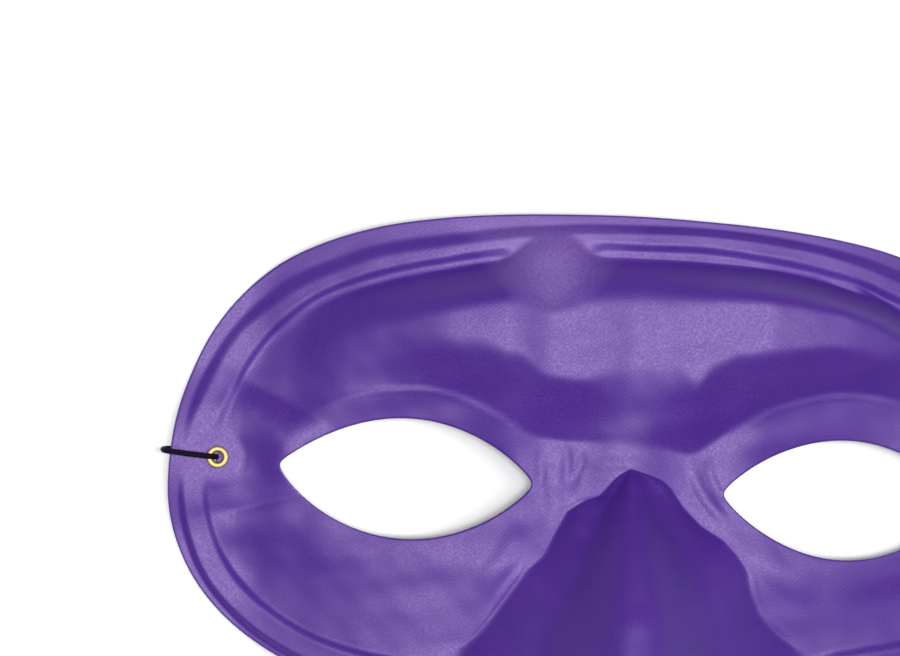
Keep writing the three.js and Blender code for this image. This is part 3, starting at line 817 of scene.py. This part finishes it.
def place_group(tree: Tree, group: Tree, **values: object) -> Node:
    """Places a node group in a material.

    Args:
        tree: The material's tree.
        group: The group.
        **values: Inputs by name, with spaces written as underscores.

    Returns:
        The group node.
    """
    return add_node(tree, "Group", {"node_tree": group}, **values)


@dataclass
class SharedEffects:
    """The shader node groups that several finishes use, each built once."""

    wander_scale: float = 900.0
    wander_detail: float = 1.0
    coarse_detail: float = 3.0
    fine_detail: float = 2.0
    sway: float = 2.2
    stagger: float = 1.5
    row_share: float = 0.2
    thread_share: float = 0.12
    weave: Tree = field(init=False)
    mottle: Tree = field(init=False)

    def __post_init__(self) -> None:
        """Builds the groups."""
        self.weave = self.build_weave()
        self.mottle = self.build_mottle()

    def build_weave(self) -> Tree:
        """Slanted rows of floats, broken into single threads.

        Returns:
            A group that puts out the cloth's height and a mask of its threads.
        """
        group, given, result = new_group(
            "woven_floats",
            {"Coordinate": "Vector", "Row Pitch": "Float", "Thread Pitch": "Float", "Lean": "Float"},
            {"Height": "Float", "Threads": "Float"},
        )
        place = given["Coordinate"]
        flat = {"rotation_type": "Z_AXIS"}
        turned = add_node(group, "VectorRotate", flat, Vector=place, Angle=given["Lean"])
        parts = add_node(group, "SeparateXYZ", Vector=turned.outputs[0])
        wander = add_node(group, "TexNoise", Vector=place, Scale=self.wander_scale, Detail=self.wander_detail)
        sway = maths(group, "MULTIPLY", wander.outputs["Fac"], self.sway)
        rows = maths(group, "DIVIDE", parts.outputs["X"], given["Row Pitch"])
        rows = maths(group, "ADD", maths(group, "MULTIPLY", rows, math.tau), sway)
        rows = maths(group, "SINE", rows)
        threads = maths(group, "DIVIDE", parts.outputs["Y"], given["Thread Pitch"])
        stagger = maths(group, "MULTIPLY", rows, self.stagger)
        threads = maths(group, "ADD", maths(group, "MULTIPLY", threads, math.tau), stagger)
        threads = maths(group, "SINE", threads)
        floats = maths(group, "MULTIPLY", rows, self.row_share)
        height = maths(group, "ADD", floats, maths(group, "MULTIPLY", threads, self.thread_share))
        group.links.new(maths(group, "ADD", height, 0.5), result["Height"])
        group.links.new(maths(group, "MULTIPLY_ADD", threads, 0.5, 0.5), result["Threads"])
        return group

    def build_mottle(self) -> Tree:
        """Uneven patches at two sizes.

        Returns:
            A group that puts out a coarse and a fine value round 0.5.
        """
        group, given, result = new_group(
            "mottle",
            {"Coordinate": "Vector", "Coarse Scale": "Float", "Fine Scale": "Float"},
            {"Coarse": "Float", "Fine": "Float"},
        )
        for size, detail in (("Coarse", self.coarse_detail), ("Fine", self.fine_detail)):
            scale = given[size + " Scale"]
            noise = add_node(group, "TexNoise", Vector=given["Coordinate"], Scale=scale, Detail=detail)
            group.links.new(noise.outputs["Fac"], result[size])
        return group


@dataclass(frozen=True)
class PaintedHighlightSpot:
    """A painted highlight: a patch where the cloth's colour is painted paler, as if it caught more light
    there.

    Its place and size are in millimetres in the row frame, which the shader's coordinates are in.
    """

    x: float
    top: float
    bottom: float
    half_width: float
    half_width_below: float
    share: float
    deep: Colour
    pale: Colour
    side_power: float = 2.0
    end_power: float = 4.0

    def share_at(self, tree: Tree, place: Socket) -> Socket:
        """Works out how strongly the painted highlight pales the cloth.

        Args:
            tree: The tree that gets the nodes.
            place: The place on the cloth, in metres.

        Returns:
            The share of the painted highlight's colour, 0 outside the spot.
        """
        parts = add_node(tree, "SeparateXYZ", Vector=place)
        span = {"_0": parts.outputs["Y"], "_1": self.top * MM, "_2": self.bottom * MM, "_3": 0.0, "_4": 1.0}
        down = add_node(tree, "MapRange", **span).outputs[0]
        widening = (self.half_width_below - self.half_width) * MM
        wide = maths(tree, "MULTIPLY_ADD", down, widening, self.half_width * MM)
        across = maths(tree, "DIVIDE", maths(tree, "SUBTRACT", parts.outputs["X"], self.x * MM), wide)
        along = maths(tree, "MULTIPLY_ADD", down, 2.0, -1.0)
        share: object = self.share
        for part, power in ((across, self.side_power), (along, self.end_power)):
            fade = maths(tree, "MULTIPLY_ADD", maths(tree, "POWER", part, power), -1.0, 1.0)
            share = maths(tree, "MULTIPLY", maths(tree, "MAXIMUM", fade, 0.0), share)
        return share


def new_material(name: str) -> tuple[Material, Tree, Node]:
    """Starts a material with an empty Principled shader.

    Args:
        name: The material's name.

    Returns:
        The material, its tree and its Principled node.
    """
    material = bpy.data.materials.new(name)
    material.use_nodes = True
    tree = material.node_tree
    tree.nodes.clear()
    shader = tree.nodes.new("ShaderNodeBsdfPrincipled")
    output = tree.nodes.new("ShaderNodeOutputMaterial")
    tree.links.new(shader.outputs[0], output.inputs["Surface"])
    return material, tree, shader


def mix_colour(tree: Tree, share: object, low: object, high: object) -> Socket:
    """Mixes two colours by a share.

    Args:
        tree: The tree that gets the node.
        share: The share of the second colour, a socket or a number.
        low: The colour at a share of 0, or its socket.
        high: The colour at a share of 1, or its socket.

    Returns:
        The mixed colour.
    """
    node = add_node(tree, "Mix", {"data_type": "RGBA"}, _0=share, _6=low, _7=high)
    return node.outputs[2]


class NewFinish:
    """A material in the making: its tree, its Principled shader, its mottle and the place on the piece."""

    def __init__(self, name: str, effects: SharedEffects, scales: Span) -> None:
        """Starts the material.

        Args:
            name: The material's name.
            effects: The shared node groups.
            scales: The coarse and the fine scale of its mottle.
        """
        self.material, self.tree, self.shader = new_material(name)
        self.place = add_node(self.tree, "TexCoord").outputs
        coarse, fine = scales
        mottle = place_group(
            self.tree, effects.mottle, Coordinate=self.place["Object"], Coarse_Scale=coarse, Fine_Scale=fine
        )
        self.coarse, self.fine = mottle.outputs["Coarse"], mottle.outputs["Fine"]

    def dress(
        self, colour: Socket, roughness: Span, height: Socket, relief: float, strength: float = 1.0
    ) -> Material:
        """Links the shader's colour, roughness and bump.

        Args:
            colour: The colour.
            roughness: The roughness in the fine mottle's lows and in its highs.
            height: The height of the relief.
            relief: How deep the relief is, in millimetres.
            strength: How strongly it shows.

        Returns:
            The material.
        """
        low, high = roughness
        rough = maths(self.tree, "MULTIPLY_ADD", self.fine, high - low, low)
        bump = add_node(self.tree, "Bump", Strength=strength, Distance=relief * MM, Height=height)
        for name, socket in (("Base Color", colour), ("Roughness", rough), ("Normal", bump.outputs[0])):
            self.tree.links.new(socket, self.shader.inputs[name])
        return self.material


@dataclass(frozen=True)
class ClothFinish:
    """Woven cloth: deep in colour, with a broad pale gloss where it faces the light."""

    name: str
    deep: Colour
    pale: Colour
    gloss_tint: Colour
    gloss: float
    roughness: Span
    row_pitch: float
    thread_pitch: float
    lean: float
    relief: float
    grain: float
    scales: Span = (90.0, 2200.0)
    coarse_share: float = 0.7
    fine_share: float = 0.5
    thread_share: float = 0.15
    deepening: float = 0.2
    # A painted highlight mixed into the colour, if the cloth has one.
    painted_highlight: PaintedHighlightSpot | None = None

    def build(self, effects: SharedEffects) -> Material:
        """Makes the material.

        Args:
            effects: The shared node groups.

        Returns:
            The material.
        """
        new = NewFinish(self.name, effects, self.scales)
        tree, place = new.tree, new.place["Object"]
        weave = place_group(
            tree,
            effects.weave,
            Coordinate=place,
            Row_Pitch=self.row_pitch * MM,
            Thread_Pitch=self.thread_pitch * MM,
            Lean=self.lean,
        )
        threads = weave.outputs["Threads"]
        shade = maths(tree, "MULTIPLY", new.coarse, self.coarse_share)
        for pattern, part in ((new.fine, self.fine_share), (threads, self.thread_share)):
            shade = maths(tree, "ADD", shade, maths(tree, "MULTIPLY", pattern, part))
        shade = maths(tree, "SUBTRACT", shade, self.deepening)
        colour = mix_colour(tree, shade, self.deep, self.pale)
        # Painted highlight: a paler patch mixed into the cloth's colour, standing in for light that it
        # catches.
        if self.painted_highlight:
            painted_highlight_colour = mix_colour(tree, new.fine, self.painted_highlight.deep, self.painted_highlight.pale)
            colour = mix_colour(tree, self.painted_highlight.share_at(tree, place), colour, painted_highlight_colour)
        height = maths(tree, "MULTIPLY_ADD", new.fine, self.grain, weave.outputs["Height"])
        new.shader.inputs["Specular IOR Level"].default_value = self.gloss
        new.shader.inputs["Specular Tint"].default_value = self.gloss_tint
        return new.dress(colour, self.roughness, height, self.relief)


@dataclass(frozen=True)
class BrassFinish:
    """Bright stamped brass, a little uneven and dull in its hollows."""

    bright: Colour = (0.52, 0.43, 0.18, 1.0)
    dull: Colour = (0.36, 0.28, 0.11, 1.0)
    roughness: Span = (0.5, 0.65)
    scales: Span = (700.0, 4000.0)
    relief: float = 0.02
    strength: float = 0.5

    def build(self, effects: SharedEffects) -> Material:
        """Makes the material.

        Args:
            effects: The shared node groups.

        Returns:
            The material.
        """
        new = NewFinish("stamped_brass", effects, self.scales)
        colour = mix_colour(new.tree, new.coarse, self.dull, self.bright)
        new.shader.inputs["Metallic"].default_value = 1.0
        return new.dress(colour, self.roughness, new.coarse, self.relief, self.strength)


@dataclass(frozen=True)
class BraidFinish:
    """The elastic's black covering: two sets of threads that cross round the cord."""

    deep: Colour = (0.002, 0.0015, 0.004, 1.0)
    pale: Colour = (0.012, 0.005, 0.026, 1.0)
    roughness: Span = (0.6, 0.8)
    gloss: float = 0.1
    scales: Span = (300.0, 3000.0)
    strands: float = 8.0
    relief: float = 0.05

    def build(self, effects: SharedEffects) -> Material:
        """Makes the material.

        Args:
            effects: The shared node groups.

        Returns:
            The material.
        """
        new = NewFinish("braided_elastic", effects, self.scales)
        tree = new.tree
        parts = add_node(tree, "SeparateXYZ", Vector=new.place["UV"])
        around = maths(tree, "MULTIPLY", parts.outputs["X"], self.strands * math.tau)
        length = maths(tree, "MULTIPLY", parts.outputs["Y"], math.tau)
        one = maths(tree, "SINE", maths(tree, "ADD", length, around))
        other = maths(tree, "SINE", maths(tree, "SUBTRACT", length, around))
        braid = maths(tree, "MAXIMUM", one, other)
        shade = maths(tree, "MULTIPLY", maths(tree, "MULTIPLY_ADD", braid, 0.5, 0.5), new.coarse)
        colour = mix_colour(tree, shade, self.deep, self.pale)
        new.shader.inputs["Specular IOR Level"].default_value = self.gloss
        return new.dress(colour, self.roughness, braid, self.relief)


SATIN = ClothFinish(
    name="purple_satin",
    deep=(0.034, 0.0062, 0.165, 1.0),
    pale=(0.058, 0.013, 0.225, 1.0),
    gloss_tint=(0.8, 0.62, 0.92, 1.0),
    gloss=0.9,
    roughness=(0.38, 0.66),
    row_pitch=0.62,
    thread_pitch=0.17,
    lean=0.9,
    relief=0.014,
    grain=1.4,
    # A painted highlight on the forehead, left of the middle: paler colour that stands in for light.
    painted_highlight=PaintedHighlightSpot(
        x=-17.5,
        top=48.0,
        bottom=28.5,
        half_width=21.0,
        half_width_below=5.0,
        share=0.95,
        deep=(0.07, 0.034, 0.19, 1.0),
        pale=(0.165, 0.088, 0.35, 1.0),
    ),
)
LINING = ClothFinish(
    name="plain_lining",
    deep=(0.03, 0.014, 0.085, 1.0),
    pale=(0.055, 0.028, 0.14, 1.0),
    gloss_tint=WHITE,
    gloss=0.3,
    roughness=(0.7, 0.9),
    row_pitch=0.5,
    thread_pitch=0.25,
    lean=0.0,
    relief=0.05,
    grain=1.2,
)


def shade_smooth(mesh: Mesh) -> None:
    """Gives every face of a mesh smooth shading."""
    mesh.polygons.foreach_set("use_smooth", [True] * len(mesh.polygons))


def place_object(name: str, data: bpy.types.ID) -> Object:
    """Puts an object into the scene.

    Args:
        name: The object's name.
        data: Its mesh, lamp or camera.

    Returns:
        The object.
    """
    placed = bpy.data.objects.new(name, data)
    bpy.context.scene.collection.objects.link(placed)
    return placed


def add_piece(name: str, mesh: Mesh, slot: str, *materials: Material) -> Object:
    """Puts a mesh into the scene as a piece of the mask.

    Args:
        name: The piece's name.
        mesh: Its mesh, in metres in the row frame.
        slot: The name of the record's material slot; not used.
        *materials: Its materials.

    Returns:
        The object.
    """
    for material in materials:
        mesh.materials.append(material)
    piece = place_object(name, mesh)
    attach(piece, BODY)
    return piece


@dataclass
class SatinShell:
    """The moulded shell: satin on the front and round every edge, a plain lining behind."""

    form: MaskForm
    outline_steps: int = 420
    eye_rings: int = 46
    centre_steps: int = 42
    crease_steps: int = 54
    rim_steps: int = 22
    rolled_insets: tuple[float, ...] = (0.0, 0.04, 0.12, 0.24, 0.4, 0.6)
    first_inset: float = 0.85
    rolled_shares: tuple[float, ...] = (0.0, 0.0015, 0.004, 0.008, 0.013, 0.02)
    ring_power: float = 1.25
    hem: float = 4.0
    hole_radius: float = 1.4
    hole_reach: float = 2.6

    def rim_insets(self) -> Array:
        """Ring places over the rim, close together at the rolled edge."""
        further = np.linspace(self.first_inset, self.form.rim_width, self.rim_steps)
        return np.concatenate([self.rolled_insets, further])

    def eye_shares(self) -> Array:
        """Places rings between an eye hole and its patch's border, close together at the hole.

        Returns:
            Each ring's share of the way to the border.
        """
        t = np.linspace(0.0, 1.0, self.eye_rings)[1:]
        last = self.rolled_shares[-1]
        return np.concatenate([self.rolled_shares, last + (1.0 - last) * t**self.ring_power])

    def eye_patch(self, side: Side, crease: Array, rim_line: Array) -> Array:
        """Fans lines out from an eye hole to the border of its patch.

        Args:
            side: Which eye it is.
            crease: The crease beside the nose, from its top down.
            rim_line: The rim's inner edge, from the crease's foot round to the top of the forehead.

        Returns:
            The patch's plan points in rows.
        """
        form, sign = self.form, side.value
        top = rim_line[-1]
        heights = np.linspace(top[1], form.nose_top_y, self.centre_steps, endpoint=False)
        centre = np.stack([0.0 * heights, heights], axis=1)
        border = np.vstack([centre, resample(crease, self.crease_steps)[:-1], rim_line])
        angles = np.arctan2(border[:, 1], border[:, 0] * sign - form.eye_x)
        for corner in (0.0, math.pi):
            angles[np.argmin(np.abs(np.sin((angles - corner) / 2)))] = corner
        inner = form.eye_point(angles) * np.array([sign, 1.0])
        shares = self.eye_shares()[:, None, None]
        rows = inner[None] + shares * (border - inner)[None]
        rows[-1] = border
        return rows

    def nose_patch(self, foot: Array) -> Array:
        """Fills the nose between its two creases.

        Args:
            foot: The rim's inner edge from the left crease's foot to the right one's.

        Returns:
            The patch's plan points in rows.
        """
        left = resample(self.form.left_line, self.crease_steps)
        right = resample(self.form.right_line, self.crease_steps)
        t = (foot[:, 0] - foot[0, 0]) / (foot[-1, 0] - foot[0, 0])
        sag = foot[:, 1] - foot[0, 1] - t * (foot[-1, 1] - foot[0, 1])
        down = np.linspace(0.0, 1.0, self.crease_steps + 1)
        rows = left[:, None] + t[None, :, None] * (right - left)[:, None]
        rows[:, :, 1] += np.square(down)[:, None] * sag[None]
        rows[:, 0], rows[:, -1], rows[-1] = left, right, foot
        return rows

    def plan(self) -> tuple[Array, Array]:
        """Lays out the whole plan.

        Returns:
            The plan points and the quads between them.
        """
        form = self.form
        edge = resample(np.vstack([form.outline, form.outline[:1]]), self.outline_steps)[:-1]
        scale = form.rim_at(edge[:, 0], edge[:, 1]) / form.rim_width
        rings = inner_rings(edge, self.rim_insets(), scale)
        rings = np.concatenate([rings, rings[:, :1]], axis=1)
        inner = rings[-1]
        left = int(np.argmin(np.linalg.norm(inner - np.array(form.left_corner), axis=1)))
        right = int(np.argmin(np.linalg.norm(inner - np.array(form.right_corner), axis=1)))
        form.set_corners(inner[left], inner[right])
        mesh = PlanMesh()
        mesh.add(rings)
        mesh.add(self.eye_patch(Side.RIGHT, form.right_line, inner[right::-1]))
        mesh.add(self.eye_patch(Side.LEFT, form.left_line, inner[left:]))
        mesh.add(self.nose_patch(inner[left : right - 1 : -1]))
        return mesh.welded()

    def pierced(self, points: Array, quads: Array) -> tuple[Array, Array]:
        """Opens the plan below each eyelet.

        Args:
            points: The plan points.
            quads: The quads between them.

        Returns:
            The points, pushed outwards round each hole, and the quads without those over its middle.
        """
        for side in Side:
            middle = np.array([self.form.eyelet_x * side.value, self.form.eyelet_y])
            gap = points - middle
            away = np.linalg.norm(gap, axis=1)
            corners = gap[quads]
            turn = np.arctan2(corners[..., 1], corners[..., 0])
            turn = np.diff(np.concatenate([turn, turn[:, :1]], axis=1), axis=1)
            turn = (turn + math.pi) % math.tau - math.pi
            quads = quads[np.abs(turn.sum(axis=1)) < math.pi]
            near = away < self.hole_reach
            spread = self.hole_radius + away * (1.0 - self.hole_radius / self.hole_reach)
            share = spread / np.maximum(away, TINY)
            points = np.where(near[:, None], middle + gap * share[:, None], points)
        return points, quads

    @staticmethod
    def slants(points: Array, heights: Array, quads: Array) -> Array:
        """How much thicker than itself a sheet stands where it slants.

        Args:
            points: The plan points.
            heights: The sheet's height over each of them.
            quads: The quads between them.

        Returns:
            One factor for each point, 1 where the sheet is level.
        """
        solid = np.column_stack([points, heights])
        normal = np.cross(solid[quads[:, 2]] - solid[quads[:, 0]], solid[quads[:, 3]] - solid[quads[:, 1]])
        total = np.zeros_like(solid)
        for i in range(4):
            np.add.at(total, quads[:, i], normal)
        return np.linalg.norm(total, axis=1) / np.maximum(np.abs(total[:, 2]), TINY)

    def build(self, effects: SharedEffects) -> Object:
        """Builds the shell and hangs it in the frame.

        Args:
            effects: The shared node groups.

        Returns:
            The shell's object.
        """
        form = self.form
        points, quads = self.pierced(*self.plan())
        plain, relief = form.heights(points)
        slant = np.minimum(form.most_slant, self.slants(points, plain, quads))
        edge = form.from_edge(points)
        drop = form.edge_drop(edge)
        front = plain + relief - drop
        back = np.maximum(0.0, plain - form.thickness * slant - form.seat_flat) + drop
        count = len(points)
        vertices = to_row(np.vstack([np.column_stack([points, front]), np.column_stack([points, back])]))
        faces = [self.without_doubles(quad) for quad in quads.tolist()]
        satin, lining = Surface.SATIN.value, Surface.LINING.value
        behind = [[i + count for i in reversed(face)] for face in faces]
        hemmed = edge < self.hem
        slots = [satin if all(hemmed[i] for i in face) else lining for face in faces]
        walls = self.walls(faces, count)
        mesh = bpy.data.meshes.new("satin_shell")
        mesh.from_pydata(vertices.tolist(), [], faces + behind + walls)
        mesh.polygons.foreach_set("material_index", [satin] * len(faces) + slots + [satin] * len(walls))
        shade_smooth(mesh)
        mesh.update()
        shell = add_piece("satin_shell", mesh, "satin", SATIN.build(effects), LINING.build(effects))
        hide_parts("mask_shell")
        log.info("shell of %d faces", len(mesh.polygons))
        return shell

    @staticmethod
    def without_doubles(face: list[int]) -> list[int]:
        """Drops a corner that a face holds twice."""
        return [corner for i, corner in enumerate(face) if corner != face[i - 1]]

    @staticmethod
    def walls(faces: list[list[int]], count: int) -> list[list[int]]:
        """Closes the shell along every open edge of its plan.

        Args:
            faces: The front's faces.
            count: How many points the front has, which is the step to the back's points.

        Returns:
            The wall's faces.
        """
        edges = {(a, b) for face in faces for a, b in zip(face, face[1:] + face[:1])}
        return [[b, a, a + count, b + count] for a, b in edges if (b, a) not in edges]


@dataclass
class Eyelet:
    """A brass eyelet: a domed flange in front, a barrel, and its turned-over end behind."""

    side: Side
    form: MaskForm
    segments: int = 72
    profile: tuple[tuple[float, float], ...] = (
        (1.24, 0.16), (1.8, 0.14), (2.02, 0.16), (2.12, 0.26), (2.13, 0.42), (2.09, 0.54), (1.98, 0.64),
        (1.82, 0.69), (1.62, 0.72), (1.4, 0.71), (1.22, 0.66), (1.1, 0.55), (1.03, 0.38), (0.98, 0.0),
        (1.0, -0.4), (1.06, -1.75), (1.14, -1.98), (1.26, -2.15), (1.44, -2.22), (1.64, -2.18),
        (1.8, -2.05), (1.87, -1.86), (1.82, -1.68), (1.7, -1.62), (1.24, -1.62),
    )

    def build(self, brass: Material) -> Object:
        """Turns the eyelet and sets it in the shell.

        Args:
            brass: Its material.

        Returns:
            The eyelet's object.
        """
        name = f"brass_eyelet_{self.side.name.lower()}"
        profile = np.array(self.profile)
        rows, count = len(profile), self.segments
        angle = np.linspace(0.0, math.tau, count, endpoint=False)
        x = self.form.eyelet_x * self.side.value + profile[:, :1] * np.cos(angle)
        y = self.form.eyelet_y + profile[:, :1] * np.sin(angle)
        z = np.broadcast_to(self.form.pad_height + profile[:, 1:], x.shape)
        vertices = to_row(np.stack([x, y, z], axis=-1).reshape(-1, 3))
        faces = [
            [i * count + j, i * count + (j + 1) % count, k * count + (j + 1) % count, k * count + j]
            for i in range(rows)
            for j in range(count)
            for k in [(i + 1) % rows]
        ]
        mesh = bpy.data.meshes.new(name)
        mesh.from_pydata(vertices.tolist(), [], faces)
        shade_smooth(mesh)
        piece = add_piece(name, mesh, "brass", brass)
        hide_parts(f"eyelet_{self.side.name.lower()}")
        log.info("%s of %d faces", name, len(mesh.polygons))
        return piece


# The elastic's route on the right side, out of the knot, up through the eyelet, over the end of the
# mask and back beneath it into the knot. The left side mirrors it.
LOOP = (
    (62.4, 13.4, 0.95), (66.5, 9.4, 0.66), (71, 4, 0.64), (75.5, 2, 0.76), (77.24, 2, 1.36),
    (77.9, 2, 2.98), (78.56, 2.05, 4.66), (80.3, 2.15, 5.3), (86.1, 2.6, 5.16), (87.97, 2.8, 4.15),
    (87.97, 3, 1.82), (86.1, 3.2, 0.84), (82.3, 4.9, 0.66), (71.5, 11.8, 0.64), (62.4, 14.4, 0.95),
)
RUN = (
    (-61.6, 14.2, 0.95), (-52, 17.4, 0.64), (-20, 20.6, 0.62), (19, 21, 0.62), (25.8, 27.6, 0.62),
    (19, 34.2, 0.62), (-8, 34.4, 0.62), (-14.2, 40.4, 0.62), (-8, 46.4, 0.62), (16, 45.4, 0.62),
    (45, 33.5, 0.64), (61.6, 14.2, 0.95),
)
# A direction that no swept line sets out in, from which its round section is turned.
ASIDE = (0.0, 0.3, 1.0)


def sweep(line: Array, radius: float, sides: int, pitch: float) -> Mesh:
    """Sweeps a round section along a line.

    Args:
        line: The centreline, in millimetres.
        radius: The section's radius.
        sides: How many sides the section has.
        pitch: The length that one turn of the pattern takes up in the mesh's second coordinate.

    Returns:
        A closed tube in metres, whose UV map has the way round and the length.
    """
    tangent = np.gradient(line, axis=0)
    tangent /= np.linalg.norm(tangent, axis=1, keepdims=True)
    normal = np.cross(tangent[0], ASIDE)
    normals = []
    for t in tangent:
        normal = normal - t * np.dot(normal, t)
        normal /= np.linalg.norm(normal)
        normals.append(normal)
    normals = np.array(normals)
    binormals = np.cross(tangent, normals)
    angle = np.linspace(0.0, math.tau, sides, endpoint=False)
    ring = np.cos(angle)[None, :, None] * normals[:, None] + np.sin(angle)[None, :, None] * binormals[:, None]
    vertices = to_row((line[:, None] + radius * ring).reshape(-1, 3))
    rows = len(line)
    lengths = lengths_along(line) / pitch
    faces, uvs = [], []
    for i in range(rows - 1):
        for j in range(sides):
            k = (j + 1) % sides
            faces.append([i * sides + j, i * sides + k, (i + 1) * sides + k, (i + 1) * sides + j])
            low, high = j / sides, (j + 1) / sides
            uvs += [(low, lengths[i]), (high, lengths[i]), (high, lengths[i + 1]), (low, lengths[i + 1])]
    faces += [list(range(sides))[::-1], [(rows - 1) * sides + j for j in range(sides)]]
    uvs += [(0.5, 0.0)] * (2 * sides)
    mesh = bpy.data.meshes.new("tube")
    mesh.from_pydata(vertices.tolist(), [], faces)
    layer = mesh.uv_layers.new(name="braid")
    layer.data.foreach_set("uv", np.array(uvs, dtype=float).reshape(-1))
    shade_smooth(mesh)
    return mesh


@dataclass
class Elastic:
    """One black elastic: a loop through each eyelet, a knot on each, and the run between them."""

    diameter: float = 1.1
    sides: int = 14
    span_steps: int = 24
    knot_x: float = 62.0
    knot_y: float = 14.0
    knot_z: float = 1.22
    knot_radius: float = 0.5
    knot_size: tuple[float, float, float] = (0.46, 0.36, 0.42)
    knot_cross: float = 1.35
    knot_lean: float = 0.3
    knot_steps: int = 120
    braid_pitch: float = 1.5

    def route(self) -> Array:
        """Lays out the centreline.

        Returns:
            Its points, from the end in the left knot to the end in the right knot.
        """
        loop = np.array(LOOP, dtype=float)
        mirrored = loop * np.array([-1.0, 1.0, 1.0])
        return np.vstack([mirrored, np.array(RUN, dtype=float)[1:-1], loop[::-1]])

    def knot(self, side: Side, braid: Material) -> Object:
        """Ties a small tight knot round the strands.

        Args:
            side: Which end of the mask it is at.
            braid: The elastic's material.

        Returns:
            The knot's object.
        """
        t = np.linspace(0.0, math.tau, self.knot_steps + 1)
        wide, deep, high = self.knot_size
        x = wide * (np.sin(t) + self.knot_cross * np.sin(2 * t))
        y = deep * (np.cos(t) - self.knot_cross * np.cos(2 * t))
        z = high * np.sin(3 * t)
        lean = -self.knot_lean * side.value
        across = x * math.cos(lean) - y * math.sin(lean)
        up = x * math.sin(lean) + y * math.cos(lean)
        line = np.stack([self.knot_x * side.value + across, self.knot_y + up, self.knot_z + z], axis=1)
        mesh = sweep(line, self.knot_radius, self.sides, self.diameter)
        knot = add_piece(f"knot_{side.name.lower()}", mesh, "elastic", braid)
        log.info("%s of %d faces", knot.name, len(mesh.polygons))
        return knot

    def build(self, effects: SharedEffects) -> Object:
        """Args:
            effects: The shared node groups.

        Returns:
            The elastic's object.
        """
        braid = BraidFinish().build(effects)
        line = catmull_rom(self.route(), self.span_steps, closed=False)
        mesh = sweep(line, self.diameter / 2, self.sides, self.diameter * self.braid_pitch)
        cord = add_piece("elastic_cord", mesh, "elastic", braid)
        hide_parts("elastic")
        knots = [self.knot(side, braid) for side in Side]
        return cord


@dataclass
class Studio:
    """A pale floor, soft light from above and the camera that looks down on the mask."""

    image_width: int = 900
    pixels_per_mm: float = 5.25
    distance: float = 1200.0
    aim: tuple[float, float, float] = (-35.3, 28.9, 10.0)
    roll: float = math.radians(3.0)
    lean_left: float = math.radians(6.0)
    sensor: float = 36.0
    clip: Span = (0.02, 20.0)
    key_size: Span = (2.3, 0.2)
    key_power: float = 20.0
    key_right: float = math.radians(12.0)
    top_strength: float = 1.3
    top_spread: float = math.radians(8.0)
    top_from: tuple[float, float, float] = (-0.06, 0.0, 1.0)
    fill: float = 0.05
    floor_colour: Colour = (0.86, 0.86, 0.86, 1.0)
    floor_roughness: float = 0.9
    floor_gloss: float = 0.2
    floor_half_width: float = 8.0

    def camera(self) -> Object:
        """Places the camera and makes it the scene's own.

        Returns:
            The camera.
        """
        data = bpy.data.cameras.new("camera")
        data.sensor_width = self.sensor
        data.lens = self.sensor * self.distance * self.pixels_per_mm / self.image_width
        data.clip_start, data.clip_end = self.clip
        back = Vector((-math.sin(self.lean_left), 0.0, 1.0)).normalized()
        right = Vector((0.0, 1.0, 0.0)).cross(back).normalized()
        up = back.cross(right)
        turned = right * math.cos(self.roll) + up * math.sin(self.roll)
        axes = Matrix((turned, back.cross(turned), back)).transposed()
        camera = place_object("camera", data)
        place = Vector(to_row(np.array(self.aim)).tolist()) + back * self.distance * MM
        camera.matrix_world = Matrix.Translation(place) @ axes.to_4x4()
        bpy.context.scene.camera = camera
        return camera

    def key_light(self, camera: Object) -> None:
        """Hangs a long flat lamp to the right of the camera, like a row of lamps in a photo studio.

        Args:
            camera: The camera. The lamp is as far from the point aimed at, and turned round it.
        """
        data = bpy.data.lights.new("long_light", "AREA")
        data.shape, data.energy = "ELLIPSE", self.key_power
        data.size, data.size_y = self.key_size
        lamp = place_object("long_light", data)
        aim = Matrix.Translation(to_row(np.array(self.aim)).tolist())
        turn = Matrix.Rotation(self.key_right, 4, "Y")
        lamp.matrix_world = aim @ turn @ aim.inverted() @ camera.matrix_world

    def top_light(self) -> None:
        """Lights the mask and the whole floor evenly from above, a little from the left."""
        data = bpy.data.lights.new("top_light", "SUN")
        data.energy, data.angle = self.top_strength, self.top_spread
        lamp = place_object("top_light", data)
        lamp.rotation_euler = Vector(self.top_from).to_track_quat("Z", "Y").to_euler()

    def sky(self) -> None:
        """Surrounds the mask with white, which lights it only a little."""
        world = bpy.data.worlds.new("studio")
        world.use_nodes = True
        tree = world.node_tree
        background = tree.nodes["Background"]
        background.inputs["Color"].default_value = WHITE
        seen = add_node(tree, "LightPath").outputs["Is Camera Ray"]
        strength = maths(tree, "MULTIPLY_ADD", seen, 1.0 - self.fill, self.fill)
        tree.links.new(strength, background.inputs["Strength"])
        bpy.context.scene.world = world

    def floor(self) -> None:
        """Lays a plain pale floor."""
        material, _, shader = new_material("pale_floor")
        shader.inputs["Base Color"].default_value = self.floor_colour
        shader.inputs["Roughness"].default_value = self.floor_roughness
        shader.inputs["Specular IOR Level"].default_value = self.floor_gloss
        half = self.floor_half_width
        mesh = bpy.data.meshes.new("floor")
        corners = [(-half, -half, 0.0), (half, -half, 0.0), (half, half, 0.0), (-half, half, 0.0)]
        mesh.from_pydata(corners, [], [[0, 1, 2, 3]])
        mesh.materials.append(material)
        floor = place_object("floor", mesh)

    def build(self) -> None:
        """Sets up the floor, the light and the look of the picture."""
        self.floor()
        self.key_light(bpy.context.scene.camera)
        self.top_light()
        self.sky()
        scene = bpy.context.scene
        scene.view_settings.view_transform = "Standard"
        scene.view_settings.look = "None"


def main() -> None:
    """Builds the mask and its studio in order."""
    logging.basicConfig(level=logging.INFO, format="%(name)s: %(message)s")
    studio = Studio()
    studio.camera()
    effects = SharedEffects()
    Elastic().build(effects)
    form = MaskForm()
    brass = BrassFinish().build(effects)
    for side in Side:
        Eyelet(side, form).build(brass)
    SatinShell(form).build(effects)
    studio.build()


if __name__ == "__main__":
    main()
